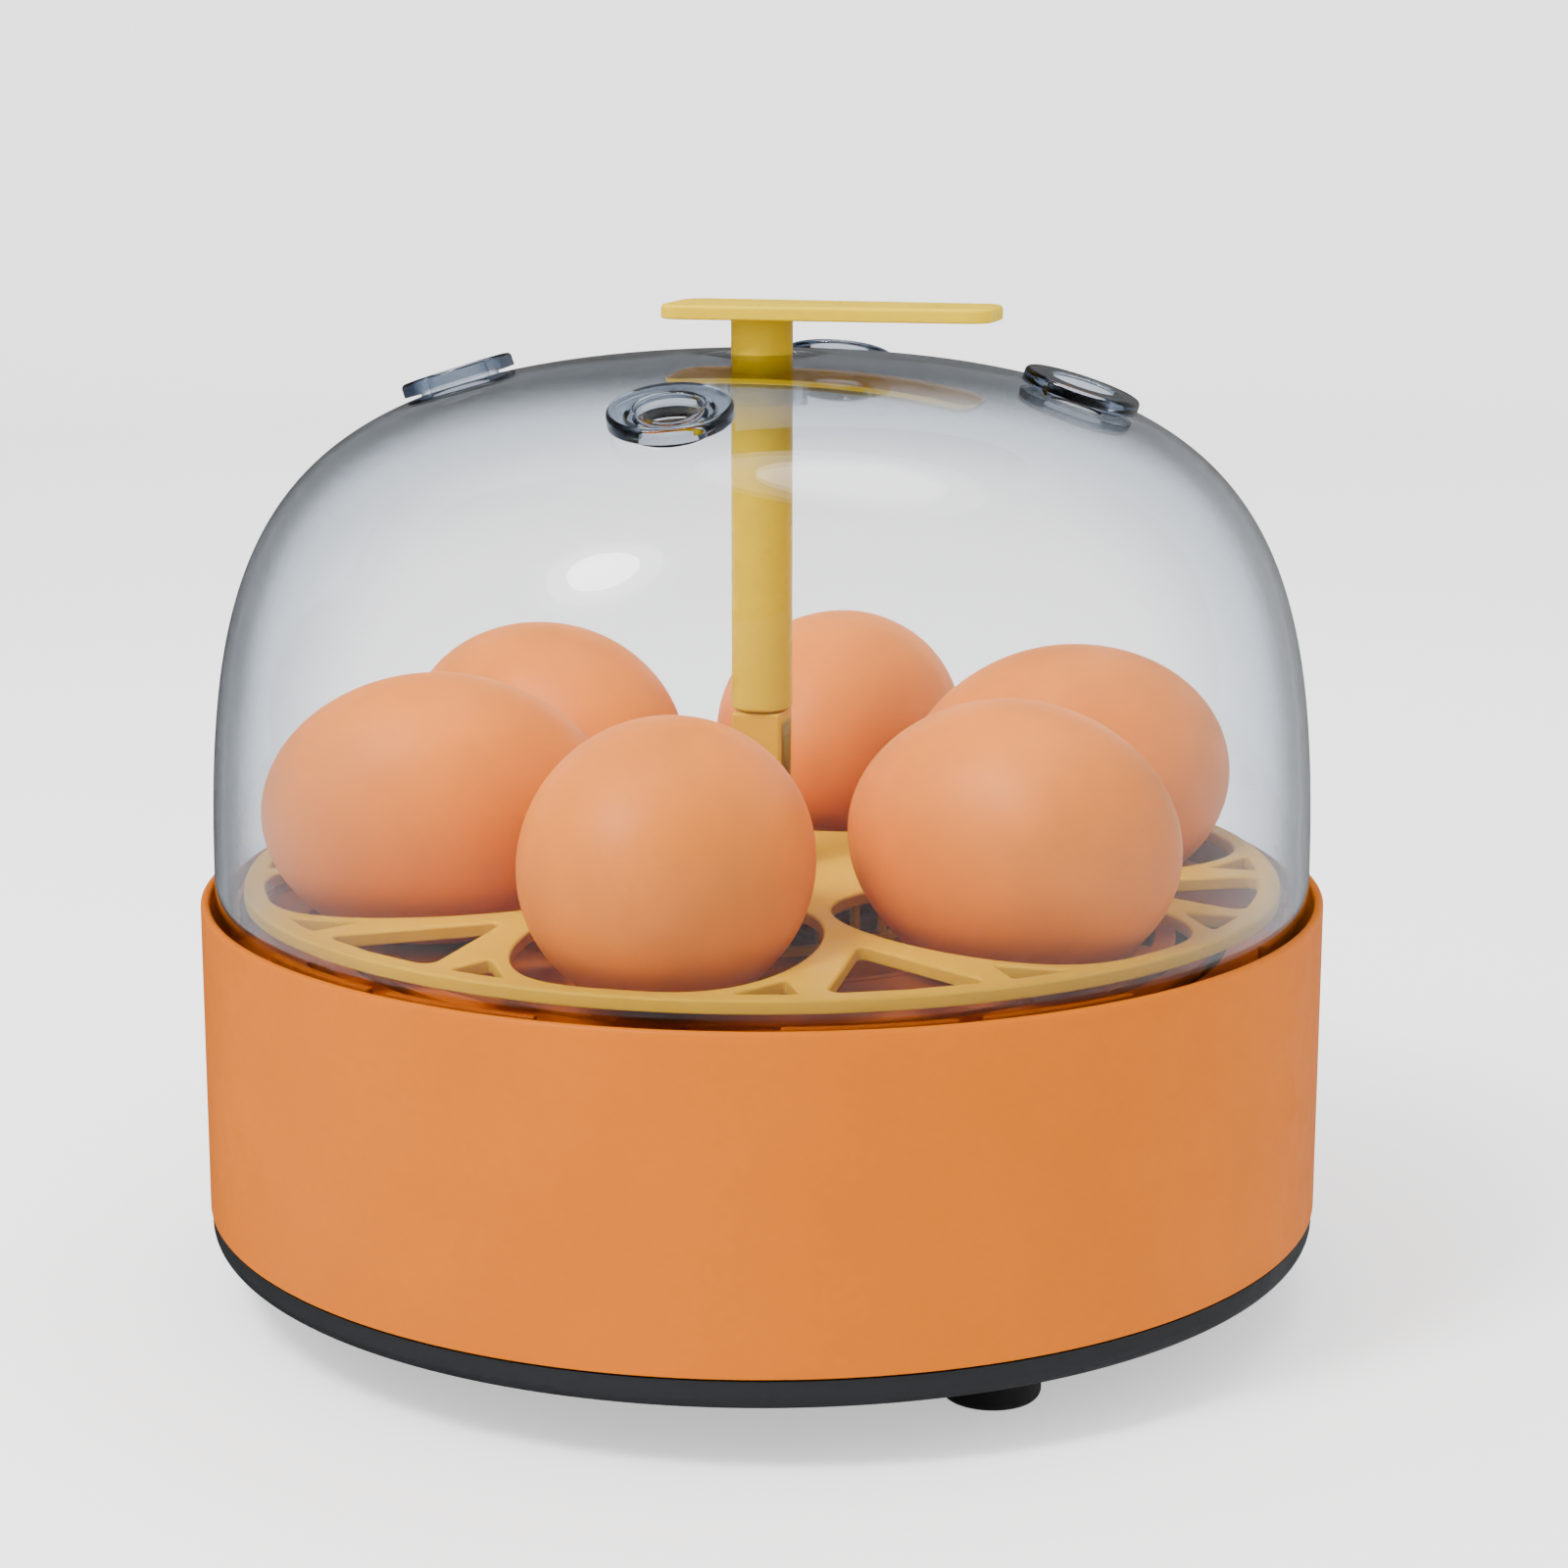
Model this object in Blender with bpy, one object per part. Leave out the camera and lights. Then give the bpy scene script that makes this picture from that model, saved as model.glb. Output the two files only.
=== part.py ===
"""Six-egg incubator: clear domed lid, hand-turned egg tray, heated base.

Every length below is in millimetres and every angle in degrees. MM turns millimetres into metres
where a mesh is made. The axis of the round body is the Z axis, the front faces -Y, and the feet
stand on Z = 0. A bearing is an angle around Z, counted from the front towards +X.
"""
import math

import bmesh
import bpy
from mathutils import Matrix, Vector

MM = 0.001
GAP = 0.3                 # between pieces that touch or rest on each other
BODY_STEPS = 48           # sides of the large round pieces
MEDIUM_STEPS = 20         # posts, vents and eggs
SMALL_STEPS = 12
SMOOTH_ANGLE = 35         # edges sharper than this stay sharp
OVERLAP = 1.0             # how far a piece reaches into another before the two are united
SMALL_CHAMFER = 0.5

# Base ---------------------------------------------------------------------------------------
BASE_RADIUS = 92.5        # outside of the orange shell
SHELL_HEIGHT = 51.6
SHELL_WALL = 1.5
LEDGE_WIDTH = 4.0         # inner ledge that carries the deck
LEDGE_THICKNESS = 2.0
COVER_DEPTH = 7.0         # how far the black cover reaches below the shell
COVER_FLOOR = 3.0
COVER_CORNER = 2.7
COVER_DISH = 1.8          # fall of the cover's underside from its corner to its flat
COVER_DISH_WIDTH = 16.0
COVER_FILLET = (4.0, 2.0) # slope inside the cover between its floor and its wall
COVER_LIP_HEIGHT = 4.0    # part of the cover that locates inside the shell
COVER_LIP_WALL = 1.4
FOOT_HEIGHT = 8.0
FOOT_RADIUS = 7.75
FOOT_CIRCLE = 70.0
FOOT_SPIGOT_RADIUS = 3.0
FOOT_CORNER = 1.5
SCREW_CIRCLE = 62.0
SCREW_RADIUS = 1.5
SCREW_LENGTH = 14.0
SCREW_HEAD_RADIUS = 2.75
SCREW_HEAD_HEIGHT = 1.4
SCREW_HEAD_CORNER = 0.6
SCREW_RECESS = (0.9, 0.5) # radius and depth of the driver recess
SCREW_END_ROOM = 2.0      # from the screw's point to the end of its bore
BOSS_RADIUS = 4.5
BOARD_PEG_RADIUS = 2.0
BOARD_PEG_MARGIN = 5.0

# Deck ---------------------------------------------------------------------------------------
DECK_DROP = 7.0           # deck's top face below the shell's lip
DECK_THICKNESS = 2.0
RIM_WALL = 1.4            # upstanding pieces that centre the dome
RIM_HEIGHT = 6.4
RIM_SPAN = 17.0           # degrees covered by one upstanding piece
RIM_SLIT = 2.5            # degrees between the two pieces of a pair
RIM_PAIR_BEARING = 35.0
SLOT_WIDTH = 2.4
SLOT_RADII = (64.0, 70.0, 76.0)
SLOT_SPAN = 50.0          # degrees
CHANNEL_RADIUS = 35.0     # middle of the water channel
CHANNEL_WIDTH = 8.0
CHANNEL_DEPTH = 3.5
CHANNEL_SLOPE = 1.0       # how far each side of the channel leans in
GRILLE_INNER = 7.5
GRILLE_OUTER = 19.5
GRILLE_SLOT = 3.0
GRILLE_COUNT = 10
SPIGOT_RADIUS = 4.0       # the tray turns on this
SPIGOT_HEIGHT = 6.9
SPIGOT_CHAMFER = 1.0

# Lid ----------------------------------------------------------------------------------------
DOME_HEIGHT = 87.5        # top of the dome above the shell's lip
DOME_WALL = 1.8
DOME_CLEARANCE = 0.9      # dome to the inside of the shell
DOME_STRAIGHT = 3.6       # plain wall above the shell's lip before the dome starts to curve
DOME_RISE_SHARE = 0.691   # how far up the side stays steep
DOME_SHOULDER_SHARE = 0.89
COLLAR_WALL = 2.0
COLLAR_LENGTH = 6.0
DOME_SEGMENTS = 9         # steps from the plain wall to the centre hole
DOME_END = 0.955          # share of the curve that is left outside the centre hole
VENT_CIRCLE = 51.8
VENT_RADIUS = 9.5
VENT_HOLE_RADIUS = 5.15
VENT_NECK_WALL = 1.55
VENT_HEIGHT = 2.5
VENT_CUT = 6.0            # reach of the vent's cutter to each side of the dome's outside

# Handle -------------------------------------------------------------------------------------
HANDLE_RISE = 8.0         # top of the paddle above the dome
PADDLE_THICKNESS = 2.3
PADDLE_SHORT = 15.2       # from the post's axis to the blunt end
PADDLE_LONG = 38.7        # from the post's axis to the narrow end
PADDLE_WIDTH = 19.0
PADDLE_TIP_WIDTH = 15.0
PADDLE_CORNER = 4.0
PADDLE_EDGE = 0.6
PADDLE_TAPER = (80, 88)   # where the corner arcs meet the slanted sides, in degrees
POST_RADIUS = 5.0
POST_CLEARANCE = 0.4
SOCKET_SIDE = 8.2
SOCKET_WALL = 1.0
SOCKET_HEIGHT = 25.9      # socket's top above the tray
TONGUE_CLEARANCE = 0.35
TONGUE_LENGTH = 16.0
TONGUE_ROOM = 2.0         # below the tongue in its socket
WINDOW_MARGIN = 0.4       # socket's window inside the cavity's sides
WINDOW_TOP = 2.1          # wall left above the socket's window

# Tray and eggs ------------------------------------------------------------------------------
EGG_COUNT = 6
EGG_DIAMETER = 44.0
EGG_BLUNT = 28.0          # widest section to the blunt end
EGG_NARROW = 29.0         # widest section to the narrow end
EGG_OVERHANG = 3.0        # blunt end to the tray's outside, seen from above
EGG_TAPER = 0.1           # how much slimmer the narrow end is
EGG_RINGS = 8
TRAY_STANDOFF = 7.8       # deck to the tray's underside
TRAY_THICKNESS = 2.2
TRAY_CLEARANCE = 0.7
TRAY_RING = 3.5
TRAY_EDGE = 0.5
CELL_CLEARANCE = 0.4
CELL_BLUNTNESS = 0.65
LEAF_LENGTH = 25.5
LEAF_HALF_ANGLE = 7.6
LEAF_CORNER = 2.0
LEAF_POINT_RADIUS = 0.9
GUSSET_LENGTH = 8.0
GUSSET_INNER_ANGLE = 12.3
GUSSET_ANGLES = (11.3, 18.1)
HUB_RADIUS = 7.0
HUB_RISE = 2.8
HUB_CHAMFER = 1.0
CAGE_RADIUS = 24.6
CAGE_BAR = 1.2
CAGE_RING = 1.5
CAGE_COUNT = 24
CAGE_BAR_SINK = 0.15      # bar's faces behind the ring's faces

# Fan, heater and electronics ----------------------------------------------------------------
FAN_SIDE = 50.0
FAN_DEPTH = 10.0
FAN_BORE = 23.0
FAN_HUB = 10.0
FAN_CORNER = 4.0
FAN_BLADES = 7
BLADE_CLEARANCE = 1.0
BLADE_THICKNESS = 1.0
BLADE_PITCHES = (42.0, 28.0)
BLADE_LENGTHS = (5.2, 8.4)
MOTOR_HEIGHT = 2.0
FAN_ARM = (3.0, 1.6)      # width and thickness of the arms that hold the motor
FAN_PLATE_RADIUS = 54.0
FAN_PLATE_THICKNESS = 2.0
PLATE_POST_CIRCLE = 48.0
PLATE_POST_RADIUS = 3.5
HEATER_RADIUS = 21.0
HEATER_TUBE = 2.0
HEATER_ROOM = 2.7         # heater's top to the deck's underside
BRACKET_HEIGHT = 4.0
BRACKET_THICKNESS = 1.2
BRACKET_REACH = 30.0
SENSOR_CIRCLE = 81.5
SENSOR_RADIUS = 1.8
SENSOR_HEIGHT = 5.6
SENSOR_BEARING = 210.0
SENSOR_TAIL = 3.0         # below the deck
BOARD_THICKNESS = 1.6
BOARD_SIZE = (50.0, 34.0)
BOARD_CENTRE = (13.0, 35.0)
BOARD_LIFT = 0.8          # board and its parts above the middle of the room under the fan plate
CAPACITOR = (-14.0, 7.0, 4.0, 9.0)      # x and y from the board's centre, radius, height
BOARD_BLOCKS = ((-4, -10, 10, 0, 8.0), (4, 5, 14, 12, 1.6), (-20, -12, -12, -2, 5.0))
JACK_RADIUS = 4.7
JACK_BORE = 3.0
JACK_LENGTH = 12.0
JACK_SHY = 0.1            # mouth inside the shell's round outside
JACK_PIN_RADIUS = 1.0
JACK_FLOOR = 3.0
JACK_PIN_DEPTH = 1.5      # pin's end behind the mouth
JACK_BEARING = 150.0
JACK_HEIGHT = 17.0        # centre above the shell's lower edge
PANEL_WIDTH = 34.0
PANEL_HEIGHT = 26.0
PANEL_THICKNESS = 2.4
PANEL_INSET = 0.6         # panel's face behind the shell's outermost line
PANEL_LIFT = -0.3         # centre above the middle between the cover's lip and the deck
PANEL_CORNER = 2.0
DISPLAY_BOARD_MARGIN = 1.0
DISPLAY_BOARD_GAP = 0.2   # behind a fully pressed button
WINDOW_SIZE = (24.0, 9.0)
WINDOW_LIFT = 5.5
BUTTON_RADIUS = 2.5
BUTTON_SPREAD = 8.0
BUTTON_DROP = 6.0
BUTTON_PROUD = 0.5
BUTTON_TRAVEL = 0.8
BUTTON_FLANGE = 1.0
BUTTON_EDGE = 0.4

# Levels and radii that follow from the sizes above ------------------------------------------
COVER_BOTTOM = FOOT_HEIGHT
SHELL_BOTTOM = COVER_BOTTOM + COVER_DEPTH
SHELL_TOP = SHELL_BOTTOM + SHELL_HEIGHT
COVER_TOP = COVER_BOTTOM + COVER_FLOOR
SHELL_INNER = BASE_RADIUS - SHELL_WALL
DECK_TOP = SHELL_TOP - DECK_DROP
DECK_BOTTOM = DECK_TOP - DECK_THICKNESS
LEDGE_TOP = DECK_BOTTOM - GAP
DOME_RADIUS = SHELL_INNER - DOME_CLEARANCE
DOME_INNER = DOME_RADIUS - DOME_WALL
DOME_BOTTOM = DECK_TOP + GAP
DOME_TOP = SHELL_TOP + DOME_HEIGHT
RIM_OUTER = DOME_INNER - TRAY_CLEARANCE
TRAY_RADIUS = RIM_OUTER - RIM_WALL - TRAY_CLEARANCE
TRAY_BOTTOM = DECK_TOP + TRAY_STANDOFF
TRAY_TOP = TRAY_BOTTOM + TRAY_THICKNESS
RING_INNER = TRAY_RADIUS - TRAY_RING
EGG_CIRCLE = TRAY_RADIUS - EGG_OVERHANG - EGG_BLUNT
EGG_AXIS = DECK_TOP + GAP + EGG_DIAMETER / 2
SOCKET_TOP = TRAY_TOP + SOCKET_HEIGHT
POST_BOTTOM = SOCKET_TOP + GAP
TONGUE_SIDE = SOCKET_SIDE - 2 * SOCKET_WALL - 2 * TONGUE_CLEARANCE
PADDLE_TOP = DOME_TOP + HANDLE_RISE
PADDLE_BOTTOM = PADDLE_TOP - PADDLE_THICKNESS
HEATER_BOTTOM = DECK_BOTTOM - HEATER_ROOM - 2 * HEATER_TUBE
BRACKET_TOP = HEATER_BOTTOM - GAP
FAN_TOP = BRACKET_TOP - BRACKET_HEIGHT - GAP
FAN_BOTTOM = FAN_TOP - FAN_DEPTH
FAN_PLATE_TOP = FAN_BOTTOM - GAP
FAN_PLATE_BOTTOM = FAN_PLATE_TOP - FAN_PLATE_THICKNESS
BOARD_STACK = BOARD_THICKNESS + max(CAPACITOR[3], *(block[4] for block in BOARD_BLOCKS))
BOARD_BOTTOM = (COVER_TOP + FAN_PLATE_BOTTOM - BOARD_STACK) / 2 + BOARD_LIFT
PANEL_FACE = BASE_RADIUS - PANEL_INSET
PANEL_BACK = PANEL_FACE - PANEL_THICKNESS
LIP_TOP = SHELL_BOTTOM + COVER_LIP_HEIGHT
PANEL_LEVEL = (LIP_TOP + DECK_BOTTOM) / 2 + PANEL_LIFT
BUTTON_BACK = PANEL_BACK - GAP - BUTTON_FLANGE
DISPLAY_BOARD_FACE = BUTTON_BACK - BUTTON_TRAVEL - DISPLAY_BOARD_GAP
DISPLAY_BOARD_BACK = DISPLAY_BOARD_FACE - BOARD_THICKNESS
QUARTERS = {"front": 0, "right": 90, "rear": 180, "left": 270}
CORNERS = {"front_right": 45, "rear_right": 135, "rear_left": 225, "front_left": 315}
PLATE_POST_BEARINGS = (90, 210, 330)
DIAGONALS = (45, 135)


# Small helpers ------------------------------------------------------------------------------
def around(radius, bearing):
    """The point at a radius and a bearing, seen from above."""
    angle = math.radians(bearing)
    return radius * math.sin(angle), -radius * math.cos(angle)


def arc(centre, radius, start, end, steps):
    """Points of an arc in a plane, from one angle to another."""
    angles = (math.radians(start + (end - start) * i / steps) for i in range(steps + 1))
    return [(centre[0] + radius * math.cos(a), centre[1] + radius * math.sin(a)) for a in angles]


def circle(radius, steps, centre=(0.0, 0.0)):
    return arc(centre, radius, 0, 360, steps)[:-1]


def bezier(points, t):
    """The point and the direction of a cubic curve at t."""
    a, b, c, d = (Vector(p) for p in points)
    s = 1 - t
    place = a * s ** 3 + b * 3 * s * s * t + c * 3 * s * t * t + d * t ** 3
    along = (b - a) * s * s + (c - b) * 2 * s * t + (d - c) * t * t
    return place, along.normalized()


def rounded_rectangle(x0, x1, y0, y1, radius, steps=4):
    outline = []
    outline += arc((x1 - radius, y1 - radius), radius, 0, 90, steps)
    outline += arc((x0 + radius, y1 - radius), radius, 90, 180, steps)
    outline += arc((x0 + radius, y0 + radius), radius, 180, 270, steps)
    outline += arc((x1 - radius, y0 + radius), radius, 270, 360, steps)
    return outline


def area(loop):
    pairs = zip(loop, loop[1:] + loop[:1])
    return sum(a[0] * b[1] - b[0] * a[1] for a, b in pairs) / 2


def inset(loop, distance):
    """The loop moved to its own left by a distance."""
    moved = []
    for i, here in enumerate(loop):
        before = Vector(here) - Vector(loop[i - 1])
        after = Vector(loop[(i + 1) % len(loop)]) - Vector(here)
        left = (before.normalized() + after.normalized()).normalized()
        moved.append((here[0] - left.y * distance, here[1] + left.x * distance))
    return moved


def add_object(name, mesh, material=None):
    piece = bpy.data.objects.new(name, mesh)
    bpy.context.collection.objects.link(piece)
    if material:
        mesh.materials.append(material)
    return piece


def finish_mesh(name, mesh_data, material):
    """Turns a bmesh in millimetres into an object in metres, normals out and shaded smooth."""
    bmesh.ops.recalc_face_normals(mesh_data, faces=mesh_data.faces)
    bmesh.ops.scale(mesh_data, vec=(MM, MM, MM), verts=mesh_data.verts)
    mesh = bpy.data.meshes.new(name)
    mesh_data.to_mesh(mesh)
    mesh_data.free()
    mesh.shade_smooth()
    mesh.set_sharp_from_angle(angle=math.radians(SMOOTH_ANGLE))
    return add_object(name, mesh, material)


def lathe(name, profile, steps, material=None):
    """A closed profile of (radius, height) points turned around Z."""
    data = bmesh.new()
    rings = []
    for radius, height in profile:
        if radius == 0:
            rings.append([data.verts.new((0, 0, height))] * steps)
        else:
            rings.append([data.verts.new((x, y, height)) for x, y in circle(radius, steps)])
    for lower, upper in zip(rings, rings[1:] + rings[:1]):
        for i in range(steps):
            j = (i + 1) % steps
            corners = []
            for vertex in (lower[i], lower[j], upper[j], upper[i]):
                if vertex not in corners:
                    corners.append(vertex)
            if len(corners) > 2:
                data.faces.new(corners)
    return finish_mesh(name, data, material)


def prism(name, loops, bottom, top, material=None, edge=0.0):
    """A plate between two levels; the first loop is its outside and the rest are holes.

    edge is the chamfer around its upper face.
    """
    data = bmesh.new()
    levels = [(bottom, 0.0), (top - edge, 0.0)] + ([(top, edge)] if edge else [])
    caps = [[], []]
    for index, loop in enumerate(loops):
        if (area(loop) > 0) != (index == 0):
            loop = loop[::-1]
        rows = []
        for level, distance in levels:
            rows.append([data.verts.new((x, y, level)) for x, y in inset(loop, distance)])
        for lower, upper in zip(rows, rows[1:]):
            for i in range(len(loop)):
                j = (i + 1) % len(loop)
                data.faces.new((lower[i], lower[j], upper[j], upper[i]))
        for cap, row in zip(caps, (rows[0], rows[-1])):
            cap += [data.edges.get((row[i - 1], row[i])) for i in range(len(row))]
    for cap in caps:
        bmesh.ops.triangle_fill(data, use_beauty=True, edges=cap)
    return finish_mesh(name, data, material)


def box(name, low, high, material=None):
    x0, y0, z0 = low
    x1, y1, z1 = high
    return prism(name, [[(x0, y0), (x1, y0), (x1, y1), (x0, y1)]], z0, z1, material)


def disc(name, radius, bottom, top, steps=24, centre=(0.0, 0.0)):
    return prism(name, [circle(radius, steps, centre)], bottom, top)


def combine(target, others, operation):
    """Cuts or unites the other objects with the target and removes them."""
    for other in others:
        modifier = target.modifiers.new(other.name, "BOOLEAN")
        modifier.operation = operation
        modifier.solver = "EXACT"
        modifier.object = other
    depsgraph = bpy.context.evaluated_depsgraph_get()
    result = bpy.data.meshes.new_from_object(target.evaluated_get(depsgraph))
    target.modifiers.clear()
    target.data = result
    result.name = target.name
    for other in others:
        bpy.data.objects.remove(other)
    result.shade_smooth()
    result.set_sharp_from_angle(angle=math.radians(SMOOTH_ANGLE))
    return target


def cut(target, *cutters):
    return combine(target, cutters, "DIFFERENCE")


def unite(target, *others):
    return combine(target, others, "UNION")


def merge(name, pieces, material=None):
    """Puts separate bodies into one object, for use as one cutter or as one thing to unite."""
    data = bmesh.new()
    for piece in pieces:
        piece.data.transform(piece.matrix_basis)
        data.from_mesh(piece.data)
        bpy.data.objects.remove(piece)
    mesh = bpy.data.meshes.new(name)
    data.to_mesh(mesh)
    data.free()
    return add_object(name, mesh, material)


def place(piece, x, y, z, turn=None):
    piece.location = Vector((x, y, z)) * MM
    if turn is not None:
        piece.rotation_euler = turn
    return piece


def place_radial(piece, bearing, height, radius=0.0):
    """Lays a piece made along Z so that its axis points outwards at a bearing and a height."""
    outward = Vector((*around(1, bearing), 0))
    return place(piece, *around(radius, bearing), height, outward.to_track_quat("Z", "Y").to_euler())


def surface(name, colour, roughness, metallic=0.0, alpha=1.0):
    """A Principled material from a colour given the way a colour picker shows it, 0 to 255."""
    linear = [((c / 255 + 0.055) / 1.055) ** 2.4 if c > 10 else c / 255 / 12.92 for c in colour]
    material = bpy.data.materials.new(name)
    material.use_nodes = True
    shader = material.node_tree.nodes["Principled BSDF"]
    shader.inputs["Base Color"].default_value = (*linear, 1.0)
    shader.inputs["Roughness"].default_value = roughness
    shader.inputs["Metallic"].default_value = metallic
    shader.inputs["Alpha"].default_value = alpha
    material.diffuse_color = (*linear, alpha)
    return material


# Base ---------------------------------------------------------------------------------------
def make_outer_shell():
    lip = SHELL_WALL / 2
    profile = [(SHELL_INNER, SHELL_BOTTOM), (BASE_RADIUS, SHELL_BOTTOM)]
    profile += arc((BASE_RADIUS - lip, SHELL_TOP - lip), lip, 0, 180, 4)
    ledge_inner = SHELL_INNER - LEDGE_WIDTH
    ledge_bottom = LEDGE_TOP - LEDGE_THICKNESS
    profile += [(SHELL_INNER, LEDGE_TOP), (ledge_inner, LEDGE_TOP)]
    profile += [(ledge_inner, ledge_bottom), (SHELL_INNER, ledge_bottom - LEDGE_WIDTH)]
    orange = surface("orange_plastic", (222, 139, 60), 0.42)
    shell = lathe("outer_shell", profile, BODY_STEPS, orange)
    half_width = PANEL_WIDTH / 2 + GAP
    half_height = PANEL_HEIGHT / 2 + GAP
    low = (-half_width, DISPLAY_BOARD_BACK - GAP, PANEL_LEVEL - half_height)
    high = (half_width, BASE_RADIUS + OVERLAP, PANEL_LEVEL + half_height)
    reach = 2 * SHELL_WALL
    jack_hole = disc("jack_hole", JACK_RADIUS + GAP, SHELL_INNER - reach, BASE_RADIUS + reach)
    place_radial(jack_hole, JACK_BEARING, SHELL_BOTTOM + JACK_HEIGHT)
    return cut(shell, box("panel_hole", low, high), jack_hole)


def make_bottom_cover():
    side = BASE_RADIUS - GAP
    corner_level = COVER_BOTTOM + COVER_DISH + COVER_CORNER
    lip_outer = SHELL_INNER - GAP
    lip_inner = lip_outer - COVER_LIP_WALL
    profile = [(0, COVER_BOTTOM), (side - COVER_DISH_WIDTH, COVER_BOTTOM)]
    profile += arc((side - COVER_CORNER, corner_level), COVER_CORNER, -82, 0, 3)
    profile += [(side, SHELL_BOTTOM - GAP), (lip_outer, SHELL_BOTTOM - GAP)]
    profile += [(lip_outer, LIP_TOP), (lip_inner, LIP_TOP)]
    profile += [(lip_inner, COVER_TOP + COVER_FILLET[1]), (lip_inner - COVER_FILLET[0], COVER_TOP)]
    profile += [(0, COVER_TOP)]
    black = surface("black_plastic", (50, 51, 54), 0.45)
    cover = lathe("bottom_cover", profile, BODY_STEPS, black)
    bore, seat = SCREW_RADIUS + GAP, SCREW_HEAD_RADIUS + GAP
    seat_top = COVER_BOTTOM + SCREW_HEAD_HEIGHT + GAP
    stepped = [(0, 0), (seat, 0), (seat, seat_top), (bore, seat_top)]
    stepped += [(bore, SHELL_BOTTOM), (0, SHELL_BOTTOM)]
    holes = []
    for bearing in QUARTERS.values():
        holes.append(place(lathe("hole", stepped, SMALL_STEPS), *around(SCREW_CIRCLE, bearing), 0))
    for bearing in CORNERS.values():
        centre = around(FOOT_CIRCLE, bearing)
        holes.append(disc("hole", FOOT_SPIGOT_RADIUS + GAP, 0, SHELL_BOTTOM, SMALL_STEPS, centre))
    cut(cover, merge("holes", holes))
    posts = []
    for bearing in PLATE_POST_BEARINGS:
        centre = around(PLATE_POST_CIRCLE, bearing)
        top = FAN_PLATE_BOTTOM - GAP
        posts.append(disc("post", PLATE_POST_RADIUS, COVER_TOP - OVERLAP, top, SMALL_STEPS, centre))
    for centre in board_corners():
        top = BOARD_BOTTOM - GAP
        posts.append(disc("peg", BOARD_PEG_RADIUS, COVER_TOP - OVERLAP, top, SMALL_STEPS, centre))
    return unite(cover, merge("posts", posts))


def board_corners():
    """Where the pegs under the control board stand."""
    half = [side / 2 - BOARD_PEG_MARGIN for side in BOARD_SIZE]
    signs = ((-1, -1), (1, -1), (1, 1), (-1, 1))
    return [(BOARD_CENTRE[0] + i * half[0], BOARD_CENTRE[1] + j * half[1]) for i, j in signs]


def make_feet():
    rubber = surface("black_rubber", (29, 29, 30), 0.75)
    top = FOOT_HEIGHT - GAP
    profile = [(0, 0), (FOOT_RADIUS - FOOT_CORNER, 0)]
    profile += arc((FOOT_RADIUS - FOOT_CORNER, FOOT_CORNER), FOOT_CORNER, -60, 0, 3)
    profile += [(FOOT_RADIUS, top), (FOOT_SPIGOT_RADIUS, top)]
    profile += [(FOOT_SPIGOT_RADIUS, COVER_TOP - GAP), (0, COVER_TOP - GAP)]
    for name, bearing in CORNERS.items():
        place(lathe("foot_" + name, profile, SMALL_STEPS, rubber), *around(FOOT_CIRCLE, bearing), 0)


def make_cover_screws():
    steel = surface("zinc_steel", (170, 172, 176), 0.3, 1.0)
    recess, depth = SCREW_RECESS
    head = SCREW_HEAD_RADIUS
    profile = [(0, depth), (recess, depth), (recess, 0), (head - SCREW_HEAD_CORNER, 0)]
    profile += [(head, SCREW_HEAD_CORNER), (head, SCREW_HEAD_HEIGHT), (SCREW_RADIUS, SCREW_HEAD_HEIGHT)]
    profile += [(SCREW_RADIUS, SCREW_LENGTH - SCREW_RADIUS / 2), (0, SCREW_LENGTH)]
    for name, bearing in QUARTERS.items():
        screw = lathe("cover_screw_" + name, profile, SMALL_STEPS, steel)
        place(screw, *around(SCREW_CIRCLE, bearing), COVER_BOTTOM)


# Deck ---------------------------------------------------------------------------------------
def ring_sector(inner, outer, start, end, steps):
    """The outline of a piece of a ring between two bearings."""
    bearings = [start + (end - start) * i / steps for i in range(steps + 1)]
    near = [around(inner, b) for b in bearings]
    far = [around(outer, b) for b in bearings]
    return near + far[::-1]


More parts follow.
